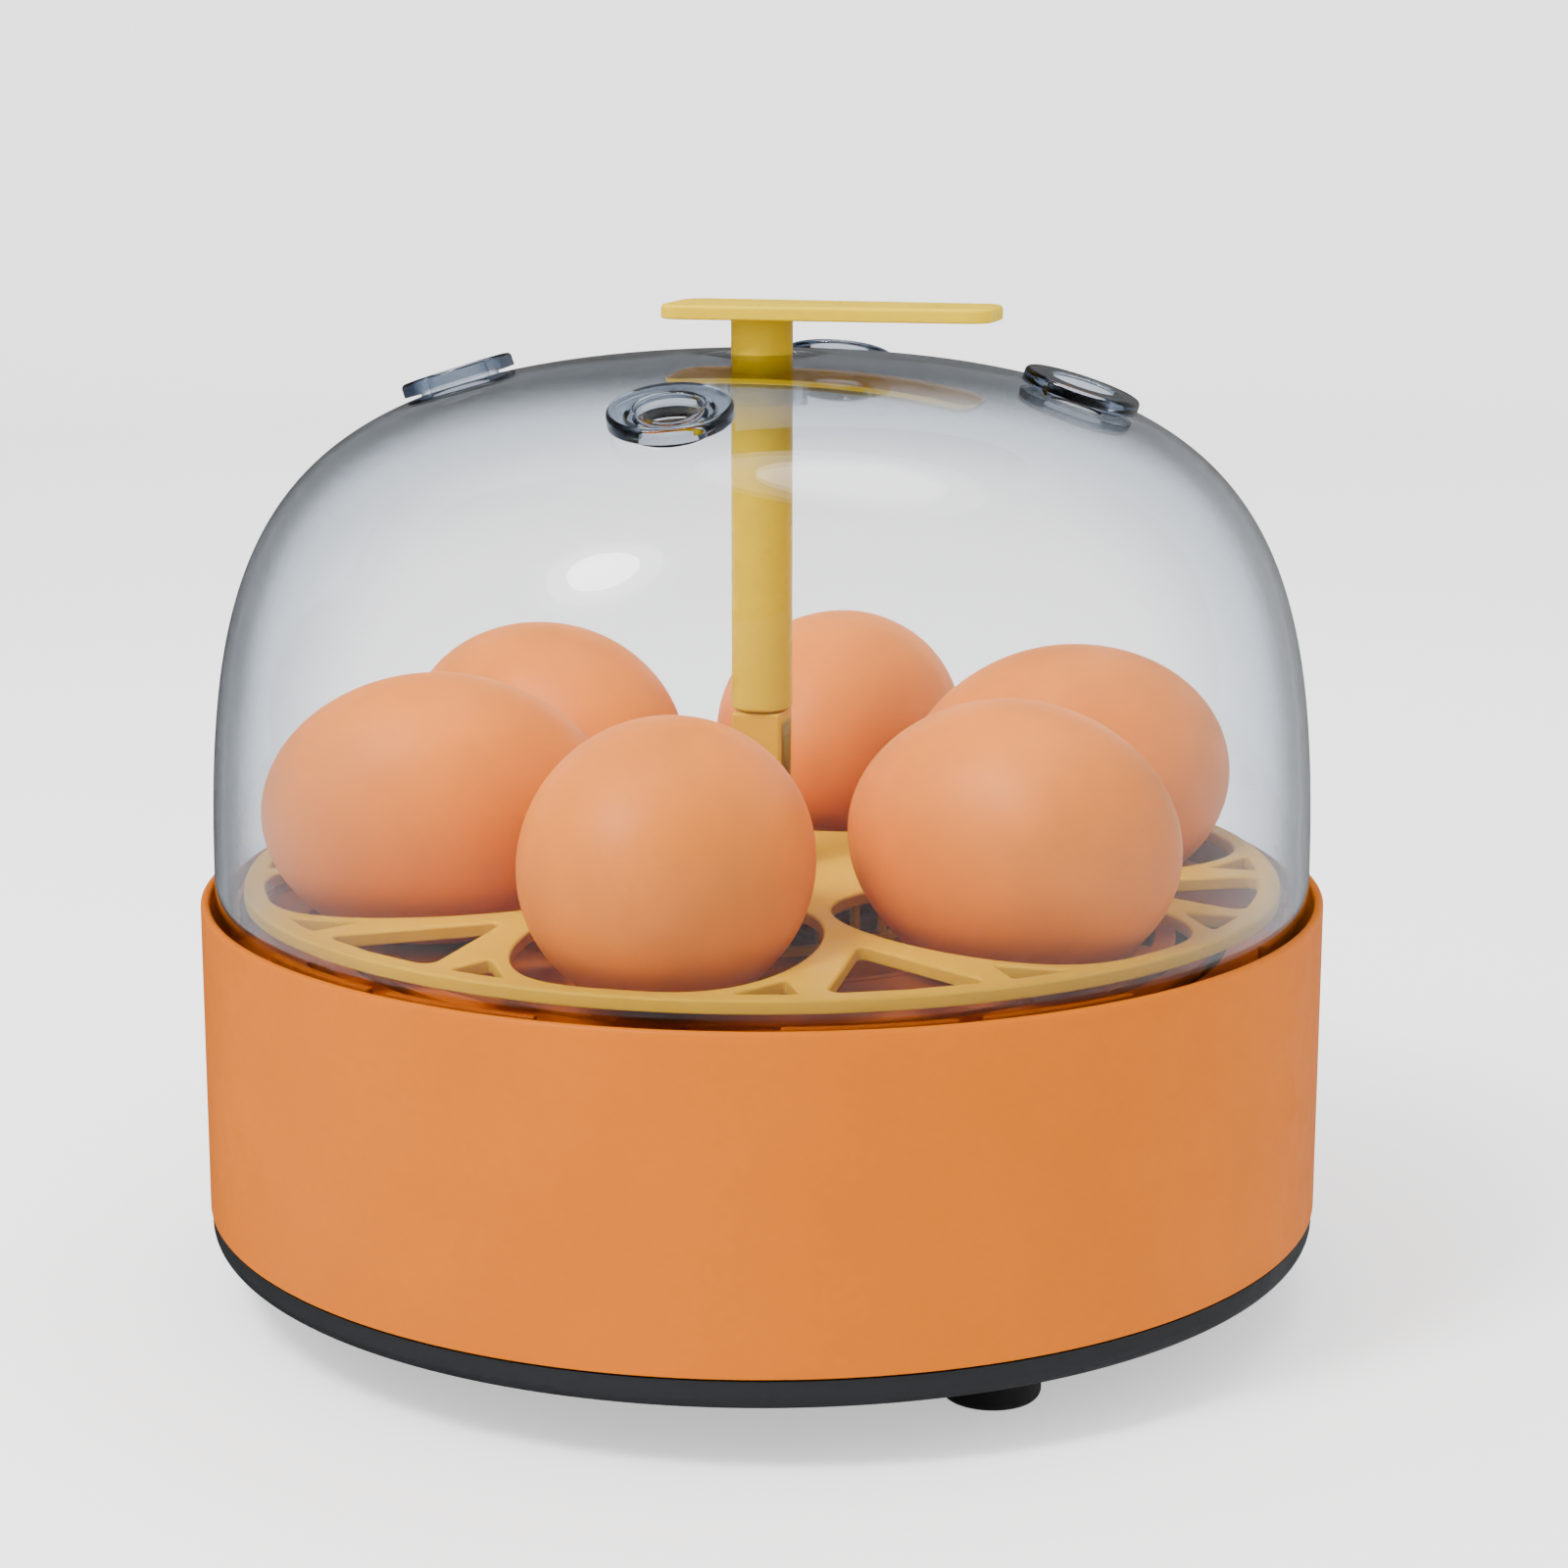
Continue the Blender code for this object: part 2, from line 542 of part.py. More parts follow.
def make_deck():
    half_channel = CHANNEL_WIDTH / 2
    channel_in = CHANNEL_RADIUS - half_channel
    channel_out = CHANNEL_RADIUS + half_channel
    channel_floor = DECK_TOP - CHANNEL_DEPTH
    spigot_top = DECK_TOP + SPIGOT_HEIGHT
    profile = [(0, DECK_BOTTOM), (channel_in - DECK_THICKNESS, DECK_BOTTOM)]
    profile += [(channel_in - DECK_THICKNESS, channel_floor - DECK_THICKNESS)]
    profile += [(channel_out + DECK_THICKNESS, channel_floor - DECK_THICKNESS)]
    profile += [(channel_out + DECK_THICKNESS, DECK_BOTTOM), (SHELL_INNER - GAP, DECK_BOTTOM)]
    profile += [(SHELL_INNER - GAP, DECK_TOP), (channel_out, DECK_TOP)]
    profile += [(channel_out - CHANNEL_SLOPE, channel_floor), (channel_in + CHANNEL_SLOPE, channel_floor)]
    profile += [(channel_in, DECK_TOP), (SPIGOT_RADIUS, DECK_TOP)]
    profile += [(SPIGOT_RADIUS, spigot_top - SPIGOT_CHAMFER)]
    profile += [(SPIGOT_RADIUS - SPIGOT_CHAMFER, spigot_top), (0, spigot_top)]
    amber = surface("orange_deck_plastic", (205, 120, 58), 0.5)
    deck = lathe("deck", profile, BODY_STEPS, amber)
    rim = []
    for index in range(EGG_COUNT):
        middle = RIM_PAIR_BEARING + index * 360 / EGG_COUNT
        for start in (middle - RIM_SLIT / 2 - RIM_SPAN, middle + RIM_SLIT / 2):
            sector = ring_sector(RIM_OUTER - RIM_WALL, RIM_OUTER, start, start + RIM_SPAN, 2)
            rim.append(prism("rim", [sector], DECK_TOP - OVERLAP, DECK_TOP + RIM_HEIGHT))
    for bearing in QUARTERS.values():
        centre = around(SCREW_CIRCLE, bearing)
        rim.append(disc("boss", BOSS_RADIUS, COVER_TOP + GAP, DECK_BOTTOM + OVERLAP, SMALL_STEPS, centre))
    unite(deck, merge("rim", rim))
    holes = []
    through = (DECK_BOTTOM - OVERLAP, DECK_TOP + OVERLAP)
    for index in range(EGG_COUNT):
        middle = (index + 0.5) * 360 / EGG_COUNT
        for radius in SLOT_RADII:
            start, end = middle - SLOT_SPAN / 2, middle + SLOT_SPAN / 2
            inner, outer = radius - SLOT_WIDTH / 2, radius + SLOT_WIDTH / 2
            slot = ring_sector(inner, outer, start, end, 4)
            holes.append(prism("slot", [slot], *through))
    for index in range(GRILLE_COUNT):
        half = GRILLE_SLOT / 2
        corner = 0.99 * half
        slot = rounded_rectangle(GRILLE_INNER, GRILLE_OUTER, -half, half, corner, 1)
        angle = index * 360 / GRILLE_COUNT
        hole = prism("grille", [slot], *through)
        holes.append(place(hole, 0, 0, 0, (0, 0, math.radians(angle))))
    for bearing in QUARTERS.values():
        centre = around(SCREW_CIRCLE, bearing)
        depth = COVER_BOTTOM + SCREW_LENGTH + SCREW_END_ROOM
        holes.append(disc("bore", SCREW_RADIUS + GAP, COVER_TOP - OVERLAP, depth, SMALL_STEPS, centre))
    centre = around(SENSOR_CIRCLE, SENSOR_BEARING)
    holes.append(disc("sensor_hole", SENSOR_RADIUS + GAP, *through, SMALL_STEPS, centre))
    return cut(deck, merge("holes", holes))


# Lid ----------------------------------------------------------------------------------------
def dome_curve():
    """The control points of the dome's outside, from the top of its plain wall to its crown."""
    start = SHELL_TOP + DOME_STRAIGHT
    steep = start + DOME_RISE_SHARE * (DOME_TOP - start)
    shoulder = DOME_RADIUS * DOME_SHOULDER_SHARE
    return [(DOME_RADIUS, start), (DOME_RADIUS, steep), (shoulder, DOME_TOP), (0, DOME_TOP)]


def dome_point(radius):
    """The place and the outward direction on the dome at a radius."""
    low, high = 0.0, 1.0
    for _ in range(40):
        middle = (low + high) / 2
        if bezier(dome_curve(), middle)[0].x > radius:
            low = middle
        else:
            high = middle
    point, along = bezier(dome_curve(), low)
    return point, Vector((along.y, -along.x))


def make_dome():
    hole = POST_RADIUS + POST_CLEARANCE
    outside = [(DOME_RADIUS, DOME_BOTTOM)]
    inside = [(DOME_INNER, DOME_BOTTOM)]
    last = hole + COLLAR_WALL
    for i in range(DOME_SEGMENTS + 1):
        point, along = bezier(dome_curve(), DOME_END * i / DOME_SEGMENTS)
        inner = point - Vector((along.y, -along.x)) * DOME_WALL
        outside.append(tuple(point))
        if inner.x > last + OVERLAP:
            inside.append(tuple(inner))
    collar_top = DOME_TOP - DOME_WALL
    collar = [(hole, DOME_TOP), (hole, collar_top - COLLAR_LENGTH)]
    collar += [(last, collar_top - COLLAR_LENGTH), (last, collar_top)]
    clear = surface("clear_plastic", (205, 212, 220), 0.05, alpha=0.35)
    dome = lathe("dome", outside + collar + inside[::-1], BODY_STEPS, clear)
    neck = VENT_HOLE_RADIUS + VENT_NECK_WALL + GAP
    cutters = []
    for bearing in QUARTERS.values():
        cutters.append(on_dome(disc("vent_hole", neck, -VENT_CUT, VENT_CUT, MEDIUM_STEPS), bearing))
    return cut(dome, *cutters)


def on_dome(piece, bearing):
    """Sets a piece made along Z on the dome's outside, on the vent circle."""
    point, outward = dome_point(VENT_CIRCLE)
    x, y = around(point.x, bearing)
    normal = Vector((*around(outward.x, bearing), outward.y))
    return place(piece, x, y, point.y, normal.to_track_quat("Z", "Y").to_euler())


def make_vent_rings():
    clear = surface("clear_ring_plastic", (190, 196, 204), 0.08, alpha=0.5)
    neck = VENT_HOLE_RADIUS + VENT_NECK_WALL
    bottom = -DOME_WALL - 2 * GAP
    edge = SMALL_CHAMFER
    profile = [(VENT_HOLE_RADIUS, bottom), (neck, bottom), (neck, GAP), (VENT_RADIUS, GAP)]
    profile += [(VENT_RADIUS, VENT_HEIGHT - edge), (VENT_RADIUS - edge, VENT_HEIGHT)]
    profile += [(VENT_HOLE_RADIUS + edge, VENT_HEIGHT), (VENT_HOLE_RADIUS, VENT_HEIGHT - edge)]
    for name, bearing in QUARTERS.items():
        on_dome(lathe("vent_ring_" + name, profile, MEDIUM_STEPS, clear), bearing)


def make_handle():
    yellow = surface("bright_yellow_plastic", (250, 216, 50), 0.4)
    half = PADDLE_WIDTH / 2
    tip = PADDLE_TIP_WIDTH / 2
    corner = PADDLE_CORNER
    front, back = PADDLE_TAPER
    outline = arc((PADDLE_LONG - corner, tip - corner), corner, 0, front, 4)
    outline += arc((-PADDLE_SHORT + corner, half - corner), corner, back, 180, 4)
    outline += arc((-PADDLE_SHORT + corner, -half + corner), corner, 180, 360 - back, 4)
    outline += arc((PADDLE_LONG - corner, -tip + corner), corner, 360 - front, 360, 4)
    paddle = prism("handle", [outline], PADDLE_BOTTOM, PADDLE_TOP, yellow, edge=PADDLE_EDGE)
    post = disc("post", POST_RADIUS, POST_BOTTOM, PADDLE_BOTTOM + OVERLAP, MEDIUM_STEPS)
    reach = TONGUE_SIDE / 2
    low = (-reach, -reach, POST_BOTTOM - TONGUE_LENGTH)
    return unite(paddle, post, box("tongue", low, (reach, reach, POST_BOTTOM + OVERLAP)))


# Tray and eggs ------------------------------------------------------------------------------
def turned(points, bearing):
    """Points drawn with the bearing 0 along +X, turned to a bearing."""
    out = []
    for x, y in points:
        distance = math.hypot(x, y)
        out.append(around(distance, bearing + math.degrees(math.atan2(y, x))))
    return out


def cell_outline(steps=26):
    """An egg-shaped opening along +X."""
    inner = EGG_CIRCLE - EGG_NARROW + SMALL_CHAMFER
    middle, half = (RING_INNER + inner) / 2, (RING_INNER - inner) / 2
    width = EGG_DIAMETER / 2 + CELL_CLEARANCE
    outline = []
    for i in range(steps):
        angle = 2 * math.pi * i / steps
        side = math.copysign(abs(math.sin(angle)) ** CELL_BLUNTNESS, math.sin(angle))
        outline.append((middle + half * math.cos(angle), width * side))
    return outline


def leaf_outline():
    """A rounded triangle along +X with its point towards the hub."""
    apex = RING_INNER - LEAF_LENGTH
    half = LEAF_HALF_ANGLE
    corner = LEAF_CORNER
    outline = arc((apex + corner, 0), LEAF_POINT_RADIUS, 110, 250, 3)
    edge = RING_INNER - corner
    for side in (-1, 1):
        x = edge * math.cos(math.radians(half))
        y = side * edge * math.sin(math.radians(half))
        turn = (260, 350) if side < 0 else (10, 100)
        outline += arc((x, y), corner, *turn, 2)
    return outline


def gusset_outline(side):
    """A small triangle beside a leaf, along +X."""
    inner = RING_INNER - GUSSET_LENGTH
    points = [(inner, GUSSET_INNER_ANGLE), (RING_INNER, GUSSET_ANGLES[0])]
    points += [(RING_INNER, sum(GUSSET_ANGLES) / 2), (RING_INNER, GUSSET_ANGLES[1])]
    outline = []
    for radius, angle in points:
        turn = math.radians(angle * side)
        outline.append((radius * math.cos(turn), radius * math.sin(turn)))
    return outline


def make_turning_tray():
    yellow = surface("yellow_plastic", (246, 205, 72), 0.45)
    loops = [circle(TRAY_RADIUS, BODY_STEPS)]
    for index in range(EGG_COUNT):
        bearing = index * 360 / EGG_COUNT
        between = bearing + 180 / EGG_COUNT
        loops.append(turned(cell_outline(), bearing))
        loops.append(turned(leaf_outline(), between))
        loops += [turned(gusset_outline(side), between) for side in (-1, 1)]
    tray = prism("turning_tray", loops, TRAY_BOTTOM, TRAY_TOP, yellow, edge=TRAY_EDGE)
    bore = SPIGOT_RADIUS + POST_CLEARANCE
    bore_top = DECK_TOP + SPIGOT_HEIGHT + GAP
    foot = DECK_TOP + GAP
    hub_top = TRAY_TOP + HUB_RISE
    profile = [(bore, foot), (HUB_RADIUS, foot), (HUB_RADIUS, hub_top - HUB_CHAMFER)]
    profile += [(HUB_RADIUS - HUB_CHAMFER, hub_top), (0, hub_top), (0, bore_top), (bore, bore_top)]
    hub = lathe("hub", profile, MEDIUM_STEPS)
    half_bar = CAGE_BAR / 2
    inner, outer = CAGE_RADIUS - half_bar, CAGE_RADIUS + half_bar
    rings = [circle(outer, CAGE_COUNT), circle(inner, CAGE_COUNT)]
    ring = prism("cage_ring", rings, foot, foot + CAGE_RING)
    bars = []
    for index in range(CAGE_COUNT):
        low = (inner + CAGE_BAR_SINK, -half_bar, foot + CAGE_RING / 2)
        high = (outer - CAGE_BAR_SINK, half_bar, TRAY_BOTTOM + TRAY_THICKNESS / 2)
        bar = box("bar", low, high)
        bars.append(place(bar, 0, 0, 0, (0, 0, math.radians((index + 0.5) * 360 / CAGE_COUNT))))
    half = SOCKET_SIDE / 2
    cavity = half - SOCKET_WALL
    column = box("column", (-half, -half, TRAY_TOP), (half, half, SOCKET_TOP))
    floor = POST_BOTTOM - TONGUE_LENGTH - TONGUE_ROOM
    hollow = box("hollow", (-cavity, -cavity, floor), (cavity, cavity, SOCKET_TOP + OVERLAP))
    side = cavity - WINDOW_MARGIN
    window_low = (-half - OVERLAP, -side, floor + TONGUE_ROOM)
    window = box("window", window_low, (half + OVERLAP, side, SOCKET_TOP - WINDOW_TOP))
    cut(column, hollow, window)
    return unite(tray, hub, ring, merge("bars", bars), column)


def make_eggs():
    shell = surface("brown_eggshell", (228, 156, 112), 0.55)
    radius = EGG_DIAMETER / 2
    profile = []
    for i in range(EGG_RINGS + 1):
        s = -math.cos(math.pi * i / EGG_RINGS)
        reach = EGG_BLUNT if s > 0 else EGG_NARROW
        width = radius * math.sin(math.pi * i / EGG_RINGS)
        if s < 0:
            width *= 1 - EGG_TAPER * s * s
        profile.append((0 if i in (0, EGG_RINGS) else width, s * reach))
    for index in range(EGG_COUNT):
        bearing = index * 360 / EGG_COUNT
        egg = lathe("egg_%d" % (index + 1), profile, MEDIUM_STEPS, shell)
        place_radial(egg, bearing, EGG_AXIS, EGG_CIRCLE)


# Fan, heater and electronics ----------------------------------------------------------------
def make_fan():
    grey = surface("fan_plastic", (45, 46, 48), 0.5)
    hole = circle(FAN_BORE, MEDIUM_STEPS)
    plate_loops = [circle(FAN_PLATE_RADIUS, BODY_STEPS), hole]
    aluminium = surface("plate_aluminium", (190, 192, 195), 0.4, 1.0)
    prism("fan_plate", plate_loops, FAN_PLATE_BOTTOM, FAN_PLATE_TOP, aluminium)
    half = FAN_SIDE / 2
    outline = rounded_rectangle(-half, half, -half, half, FAN_CORNER)
    frame = prism("fan_frame", [outline, hole], FAN_BOTTOM, FAN_TOP, grey)
    arms = [disc("motor", FAN_HUB, FAN_BOTTOM, FAN_BOTTOM + MOTOR_HEIGHT, SMALL_STEPS)]
    reach, half_arm = FAN_BORE + OVERLAP, FAN_ARM[0] / 2
    for turn in DIAGONALS:
        high = (reach, half_arm, FAN_BOTTOM + FAN_ARM[1])
        arm = box("arm", (-reach, -half_arm, FAN_BOTTOM), high)
        arms.append(place(arm, 0, 0, 0, (0, 0, math.radians(turn))))
    unite(frame, *arms)
    make_impeller()


def make_impeller():
    dark = surface("impeller_plastic", (62, 64, 68), 0.45)
    bottom, top = FAN_BOTTOM + MOTOR_HEIGHT + GAP, FAN_TOP - OVERLAP
    half = (top - bottom) / 2
    hub = [(0, -half), (FAN_HUB, -half), (FAN_HUB, half), (0, half)]
    impeller = place(lathe("fan_impeller", hub, SMALL_STEPS, dark), 0, 0, bottom + half)
    blades = []
    for index in range(FAN_BLADES):
        blade = place(make_blade(), 0, 0, bottom + half)
        blade.rotation_euler.z = 2 * math.pi * index / FAN_BLADES
        blades.append(blade)
    unite(impeller, *blades)


def make_blade():
    """One flat, twisted blade along +X, centred on the hub's height."""
    data = bmesh.new()
    rows = []
    tip = FAN_BORE - BLADE_CLEARANCE
    for radius, pitch, length in zip((FAN_HUB - 1.5 * OVERLAP, tip), BLADE_PITCHES, BLADE_LENGTHS):
        lean = math.radians(pitch)
        along = Vector((0, math.cos(lean), math.sin(lean))) * length / 2
        across = Vector((0, -math.sin(lean), math.cos(lean))) * BLADE_THICKNESS / 2
        corners = (-along - across, along - across, along + across, -along + across)
        reach = math.sqrt(radius ** 2 - along.y ** 2) if radius == tip else radius
        rows.append([data.verts.new(corner + Vector((reach, 0, 0))) for corner in corners])
    for i in range(4):
        j = (i + 1) % 4
        data.faces.new((rows[0][i], rows[0][j], rows[1][j], rows[1][i]))
    for row in rows:
        data.faces.new(row)
    return finish_mesh("blade", data, None)


def make_heater():
    steel = surface("heater_steel", (150, 142, 136), 0.35, 1.0)
    mica = surface("mica_board", (176, 150, 112), 0.7)
    half = BRACKET_THICKNESS / 2
    reach = BRACKET_REACH
    bars = []
    for turn in DIAGONALS:
        bar = box("heater_bracket", (-reach, -half, FAN_TOP + GAP), (reach, half, BRACKET_TOP), mica)
        bars.append(place(bar, 0, 0, 0, (0, 0, math.radians(turn))))
    unite(*bars)
    centre = (HEATER_RADIUS, HEATER_BOTTOM + HEATER_TUBE)
    lathe("heater_ring", arc(centre, HEATER_TUBE, 0, 360, 6)[:-1], MEDIUM_STEPS, steel)


def make_temperature_sensor():
    steel = surface("sensor_steel", (196, 198, 202), 0.25, 1.0)
    top = DECK_TOP + SENSOR_HEIGHT
    bottom = DECK_BOTTOM - SENSOR_TAIL
    profile = [(0, bottom), (SENSOR_RADIUS, bottom)]
    profile += arc((0, top - SENSOR_RADIUS), SENSOR_RADIUS, 0, 90, 3)[:-1] + [(0, top)]
    sensor = lathe("temperature_sensor", profile, SMALL_STEPS, steel)
    place(sensor, *around(SENSOR_CIRCLE, SENSOR_BEARING), 0)


def make_control_board():
    green = surface("board_green", (28, 92, 58), 0.4)
    x, y = BOARD_CENTRE
    half_x, half_y = BOARD_SIZE[0] / 2, BOARD_SIZE[1] / 2
    top = BOARD_BOTTOM + BOARD_THICKNESS
    low, high = (x - half_x, y - half_y, BOARD_BOTTOM), (x + half_x, y + half_y, top)
    board = box("control_board", low, high, green)
    sunk = top - SMALL_CHAMFER
    across, along, radius, height = CAPACITOR
    centre = (x + across, y + along)
    parts = [disc("capacitor", radius, sunk, top + height, SMALL_STEPS, centre)]
    for x0, y0, x1, y1, height in BOARD_BLOCKS:
        parts.append(box("part", (x + x0, y + y0, sunk), (x + x1, y + y1, top + height)))
    unite(board, merge("parts", parts))


def make_rear_controls():
    black = surface("panel_plastic", (58, 59, 62), 0.4)
    lens = surface("window_lens", (18, 18, 22), 0.08)
    grey = surface("button_plastic", (226, 226, 222), 0.45)
    green = surface("display_board_green", (26, 84, 54), 0.4)
    half = PANEL_WIDTH / 2
    low_z, high_z = PANEL_LEVEL - PANEL_HEIGHT / 2, PANEL_LEVEL + PANEL_HEIGHT / 2
    outline = rounded_rectangle(-half, half, low_z, high_z, PANEL_CORNER, 3)
    panel = prism("control_panel", [outline], -PANEL_FACE, -PANEL_BACK, black)
    window_z = PANEL_LEVEL + WINDOW_LIFT
    button_z = PANEL_LEVEL - BUTTON_DROP
    half_w, half_h = WINDOW_SIZE[0] / 2, WINDOW_SIZE[1] / 2
    near, far = -PANEL_FACE - OVERLAP, -PANEL_BACK + OVERLAP
    holes = [box("hole", (-half_w, window_z - half_h, near), (half_w, window_z + half_h, far))]
    for side in (-1, 1):
        centre = (side * BUTTON_SPREAD, button_z)
        holes.append(disc("hole", BUTTON_RADIUS + GAP, near, far, SMALL_STEPS, centre))
    cut(panel, merge("holes", holes))
    lens_low = (-half_w + GAP, window_z - half_h + GAP, -PANEL_FACE + GAP)
    lens_high = (half_w - GAP, window_z + half_h - GAP, -PANEL_BACK)
    window = box("display_window", lens_low, lens_high, lens)
    margin = DISPLAY_BOARD_MARGIN
    board_low = (-half + margin, low_z + margin, -DISPLAY_BOARD_FACE)
    board_high = (half - margin, high_z - margin, -DISPLAY_BOARD_BACK)
    board = box("display_board", board_low, board_high, green)
    for piece in (panel, window, board):
        stand_up(piece)
    flange = BUTTON_RADIUS + BUTTON_FLANGE
    length = PANEL_FACE + BUTTON_PROUD - BUTTON_BACK
    profile = [(0, 0), (flange, 0), (flange, BUTTON_FLANGE), (BUTTON_RADIUS, BUTTON_FLANGE)]
    profile += [(BUTTON_RADIUS, length - BUTTON_EDGE), (BUTTON_RADIUS - BUTTON_EDGE, length), (0, length)]
    for name, side in (("button_up", -1), ("button_down", 1)):
        button = lathe(name, profile, SMALL_STEPS, grey)
        facing = Vector((0, 1, 0)).to_track_quat("Z", "Y").to_euler()
        place(button, side * BUTTON_SPREAD, BUTTON_BACK, button_z, facing)


def stand_up(piece):
    """Turns a piece drawn in the XY plane so that its -Z side faces the rear, +Y."""
    piece.data.transform(Matrix.Rotation(math.radians(90), 4, "X"))


def make_power_jack():
    black = surface("jack_plastic", (34, 34, 36), 0.4)
    tip = math.sqrt(BASE_RADIUS ** 2 - JACK_RADIUS ** 2) - JACK_SHY
    back = tip - JACK_LENGTH
    profile = [(0, back), (JACK_RADIUS, back), (JACK_RADIUS, tip), (JACK_BORE, tip)]
    pin, floor = JACK_PIN_RADIUS, back + JACK_FLOOR
    profile += [(JACK_BORE, floor), (pin, floor), (pin, tip - JACK_PIN_DEPTH), (0, tip - pin)]
    place_radial(lathe("power_jack", profile, SMALL_STEPS, black), JACK_BEARING, SHELL_BOTTOM + JACK_HEIGHT)


def main():
    for old in list(bpy.data.objects):
        bpy.data.objects.remove(old)
    make_outer_shell()
    make_bottom_cover()
    make_feet()
    make_cover_screws()
    make_deck()
    make_dome()
    make_vent_rings()
    make_handle()
    make_turning_tray()
    make_eggs()
    make_fan()
    make_heater()
    make_temperature_sensor()
    make_control_board()
    make_rear_controls()
    make_power_jack()


main()
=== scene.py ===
"""Finished look of a six-egg incubator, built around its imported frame.

Laid out as a Blender add-on: property groups hold sizes and colours, one operator makes each
group of pieces, and a panel in the 3D view's sidebar lists them. Lengths are metres. A bearing is
an angle around the body's upright axis, counted from the front (-Y) towards +X.
"""
import math
from functools import cache

import bmesh
import bpy
from bpy.props import FloatProperty, FloatVectorProperty, IntProperty, PointerProperty
from bpy.types import Operator, Panel, PropertyGroup
from mathutils import Matrix, Vector


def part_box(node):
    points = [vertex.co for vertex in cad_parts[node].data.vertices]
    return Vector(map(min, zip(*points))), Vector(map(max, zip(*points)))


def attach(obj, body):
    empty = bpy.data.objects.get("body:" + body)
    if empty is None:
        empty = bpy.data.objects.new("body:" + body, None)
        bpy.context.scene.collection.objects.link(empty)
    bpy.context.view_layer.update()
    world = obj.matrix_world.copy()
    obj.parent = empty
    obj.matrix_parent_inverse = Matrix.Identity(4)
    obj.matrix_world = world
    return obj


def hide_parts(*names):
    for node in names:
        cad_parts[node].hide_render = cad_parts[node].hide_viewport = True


bl_info = {
    "name": "Egg Incubator",
    "version": (1, 0, 0),
    "blender": (4, 5, 0),
    "location": "3D View > Sidebar > Incubator",
    "description": "Makes the finished pieces of a six-egg incubator around its frame",
    "category": "Add Mesh",
}

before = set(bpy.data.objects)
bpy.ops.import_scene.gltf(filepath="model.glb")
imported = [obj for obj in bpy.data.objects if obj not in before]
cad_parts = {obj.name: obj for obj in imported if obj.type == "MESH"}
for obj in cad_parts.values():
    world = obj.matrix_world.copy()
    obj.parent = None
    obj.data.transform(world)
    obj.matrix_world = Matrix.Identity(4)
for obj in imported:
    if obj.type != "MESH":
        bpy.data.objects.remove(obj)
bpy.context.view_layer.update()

MM = 0.001
GAP = 0.3 * MM
EGG_COUNT = 6
EGG_STEP = 360 / EGG_COUNT
SHARP_ANGLE = 40
WIRE_POINTS = 12
WIRE_SIDES = 8
PLASTIC_IOR = 1.5
CLEAR_IOR = 1.49
QUARTERS = ("front", "right", "rear", "left")
CORNERS = ("front_right", "rear_right", "rear_left", "front_left")
SHELL_LOW, SHELL_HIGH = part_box("outer_shell")
COVER_LOW, COVER_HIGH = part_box("bottom_cover")
DOME_LOW, DOME_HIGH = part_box("dome")
TRAY_LOW, TRAY_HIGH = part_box("turning_tray")
DECK_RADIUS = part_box("deck")[1].x
HANDLE_LOW, HANDLE_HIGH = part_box("handle")
EGG_LOW, EGG_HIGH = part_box("egg_1")
PANEL_LOW, PANEL_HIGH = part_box("control_panel")
FOOT_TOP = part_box("foot_front_right")[1].z


# Outlines -----------------------------------------------------------------------------------
def around(radius, bearing):
    """The point at a radius and a bearing, seen from above."""
    angle = math.radians(bearing)
    return radius * math.sin(angle), -radius * math.cos(angle)


def arc(centre, radius, start, end, steps):
    """Points of an arc from one angle to another."""
    angles = [math.radians(start + (end - start) * i / steps) for i in range(steps + 1)]
    return [(centre[0] + radius * math.cos(a), centre[1] + radius * math.sin(a)) for a in angles]


def bend(x, y, radius, start, steps=4, sweep=90):
    """An arc that rounds the corner at (x, y), from an angle and on through a sweep."""
    middle = math.radians(start + sweep / 2)
    side, rise = math.copysign(radius, math.cos(middle)), math.copysign(radius, math.sin(middle))
    return arc((x - side, y - rise), radius, start, start + sweep, steps)


def circle(radius, steps, centre=(0, 0)):
    return arc(centre, radius, 0, 360, steps)[:-1]


def cylinder(radius, bottom, top):
    """The (radius, height) outline of a plain cylinder."""
    return [(0, bottom), (radius, bottom), (radius, top), (0, top)]


def rounded(corners, steps=6):
    """A closed outline from (x, y, radius) corners, each rounded by an arc of its radius."""
    outline = []
    for i, (x, y, radius) in enumerate(corners):
        here = Vector((x, y))
        before = Vector(corners[i - 1][:2]) - here
        after = Vector(corners[(i + 1) % len(corners)][:2]) - here
        angle = before.angle(after)
        if radius <= 0 or angle > math.radians(179):
            outline.append((x, y))
            continue
        back = min(radius / math.tan(angle / 2), before.length * 0.49, after.length * 0.49)
        radius = back * math.tan(angle / 2)
        start = here + before.normalized() * back
        end = here + after.normalized() * back
        middle = (before.normalized() + after.normalized()).normalized()
        centre = here + middle * radius / math.sin(angle / 2)
        sweep = (start - centre).angle_signed(end - centre)
        for step in range(steps + 1):
            arm = Matrix.Rotation(-sweep * step / steps, 2) @ (start - centre)
            outline.append(tuple(centre + arm))
    return outline


def rectangle(x0, x1, y0, y1, radius, steps=6):
    corners = ((x0, y0), (x1, y0), (x1, y1), (x0, y1))
    return rounded([(x, y, radius) for x, y in corners], steps)


def bezier(points, t):
    """The point and the direction of a cubic curve at t."""
    a, b, c, d = (Vector(p) for p in points)
    s = 1 - t
    place = a * s ** 3 + b * 3 * s * s * t + c * 3 * s * t * t + d * t ** 3
    along = (b - a) * s * s + (c - b) * 2 * s * t + (d - c) * t * t
    return place, along.normalized()


def area(loop):
    return sum(a[0] * b[1] - b[0] * a[1] for a, b in zip(loop, loop[1:] + loop[:1])) / 2


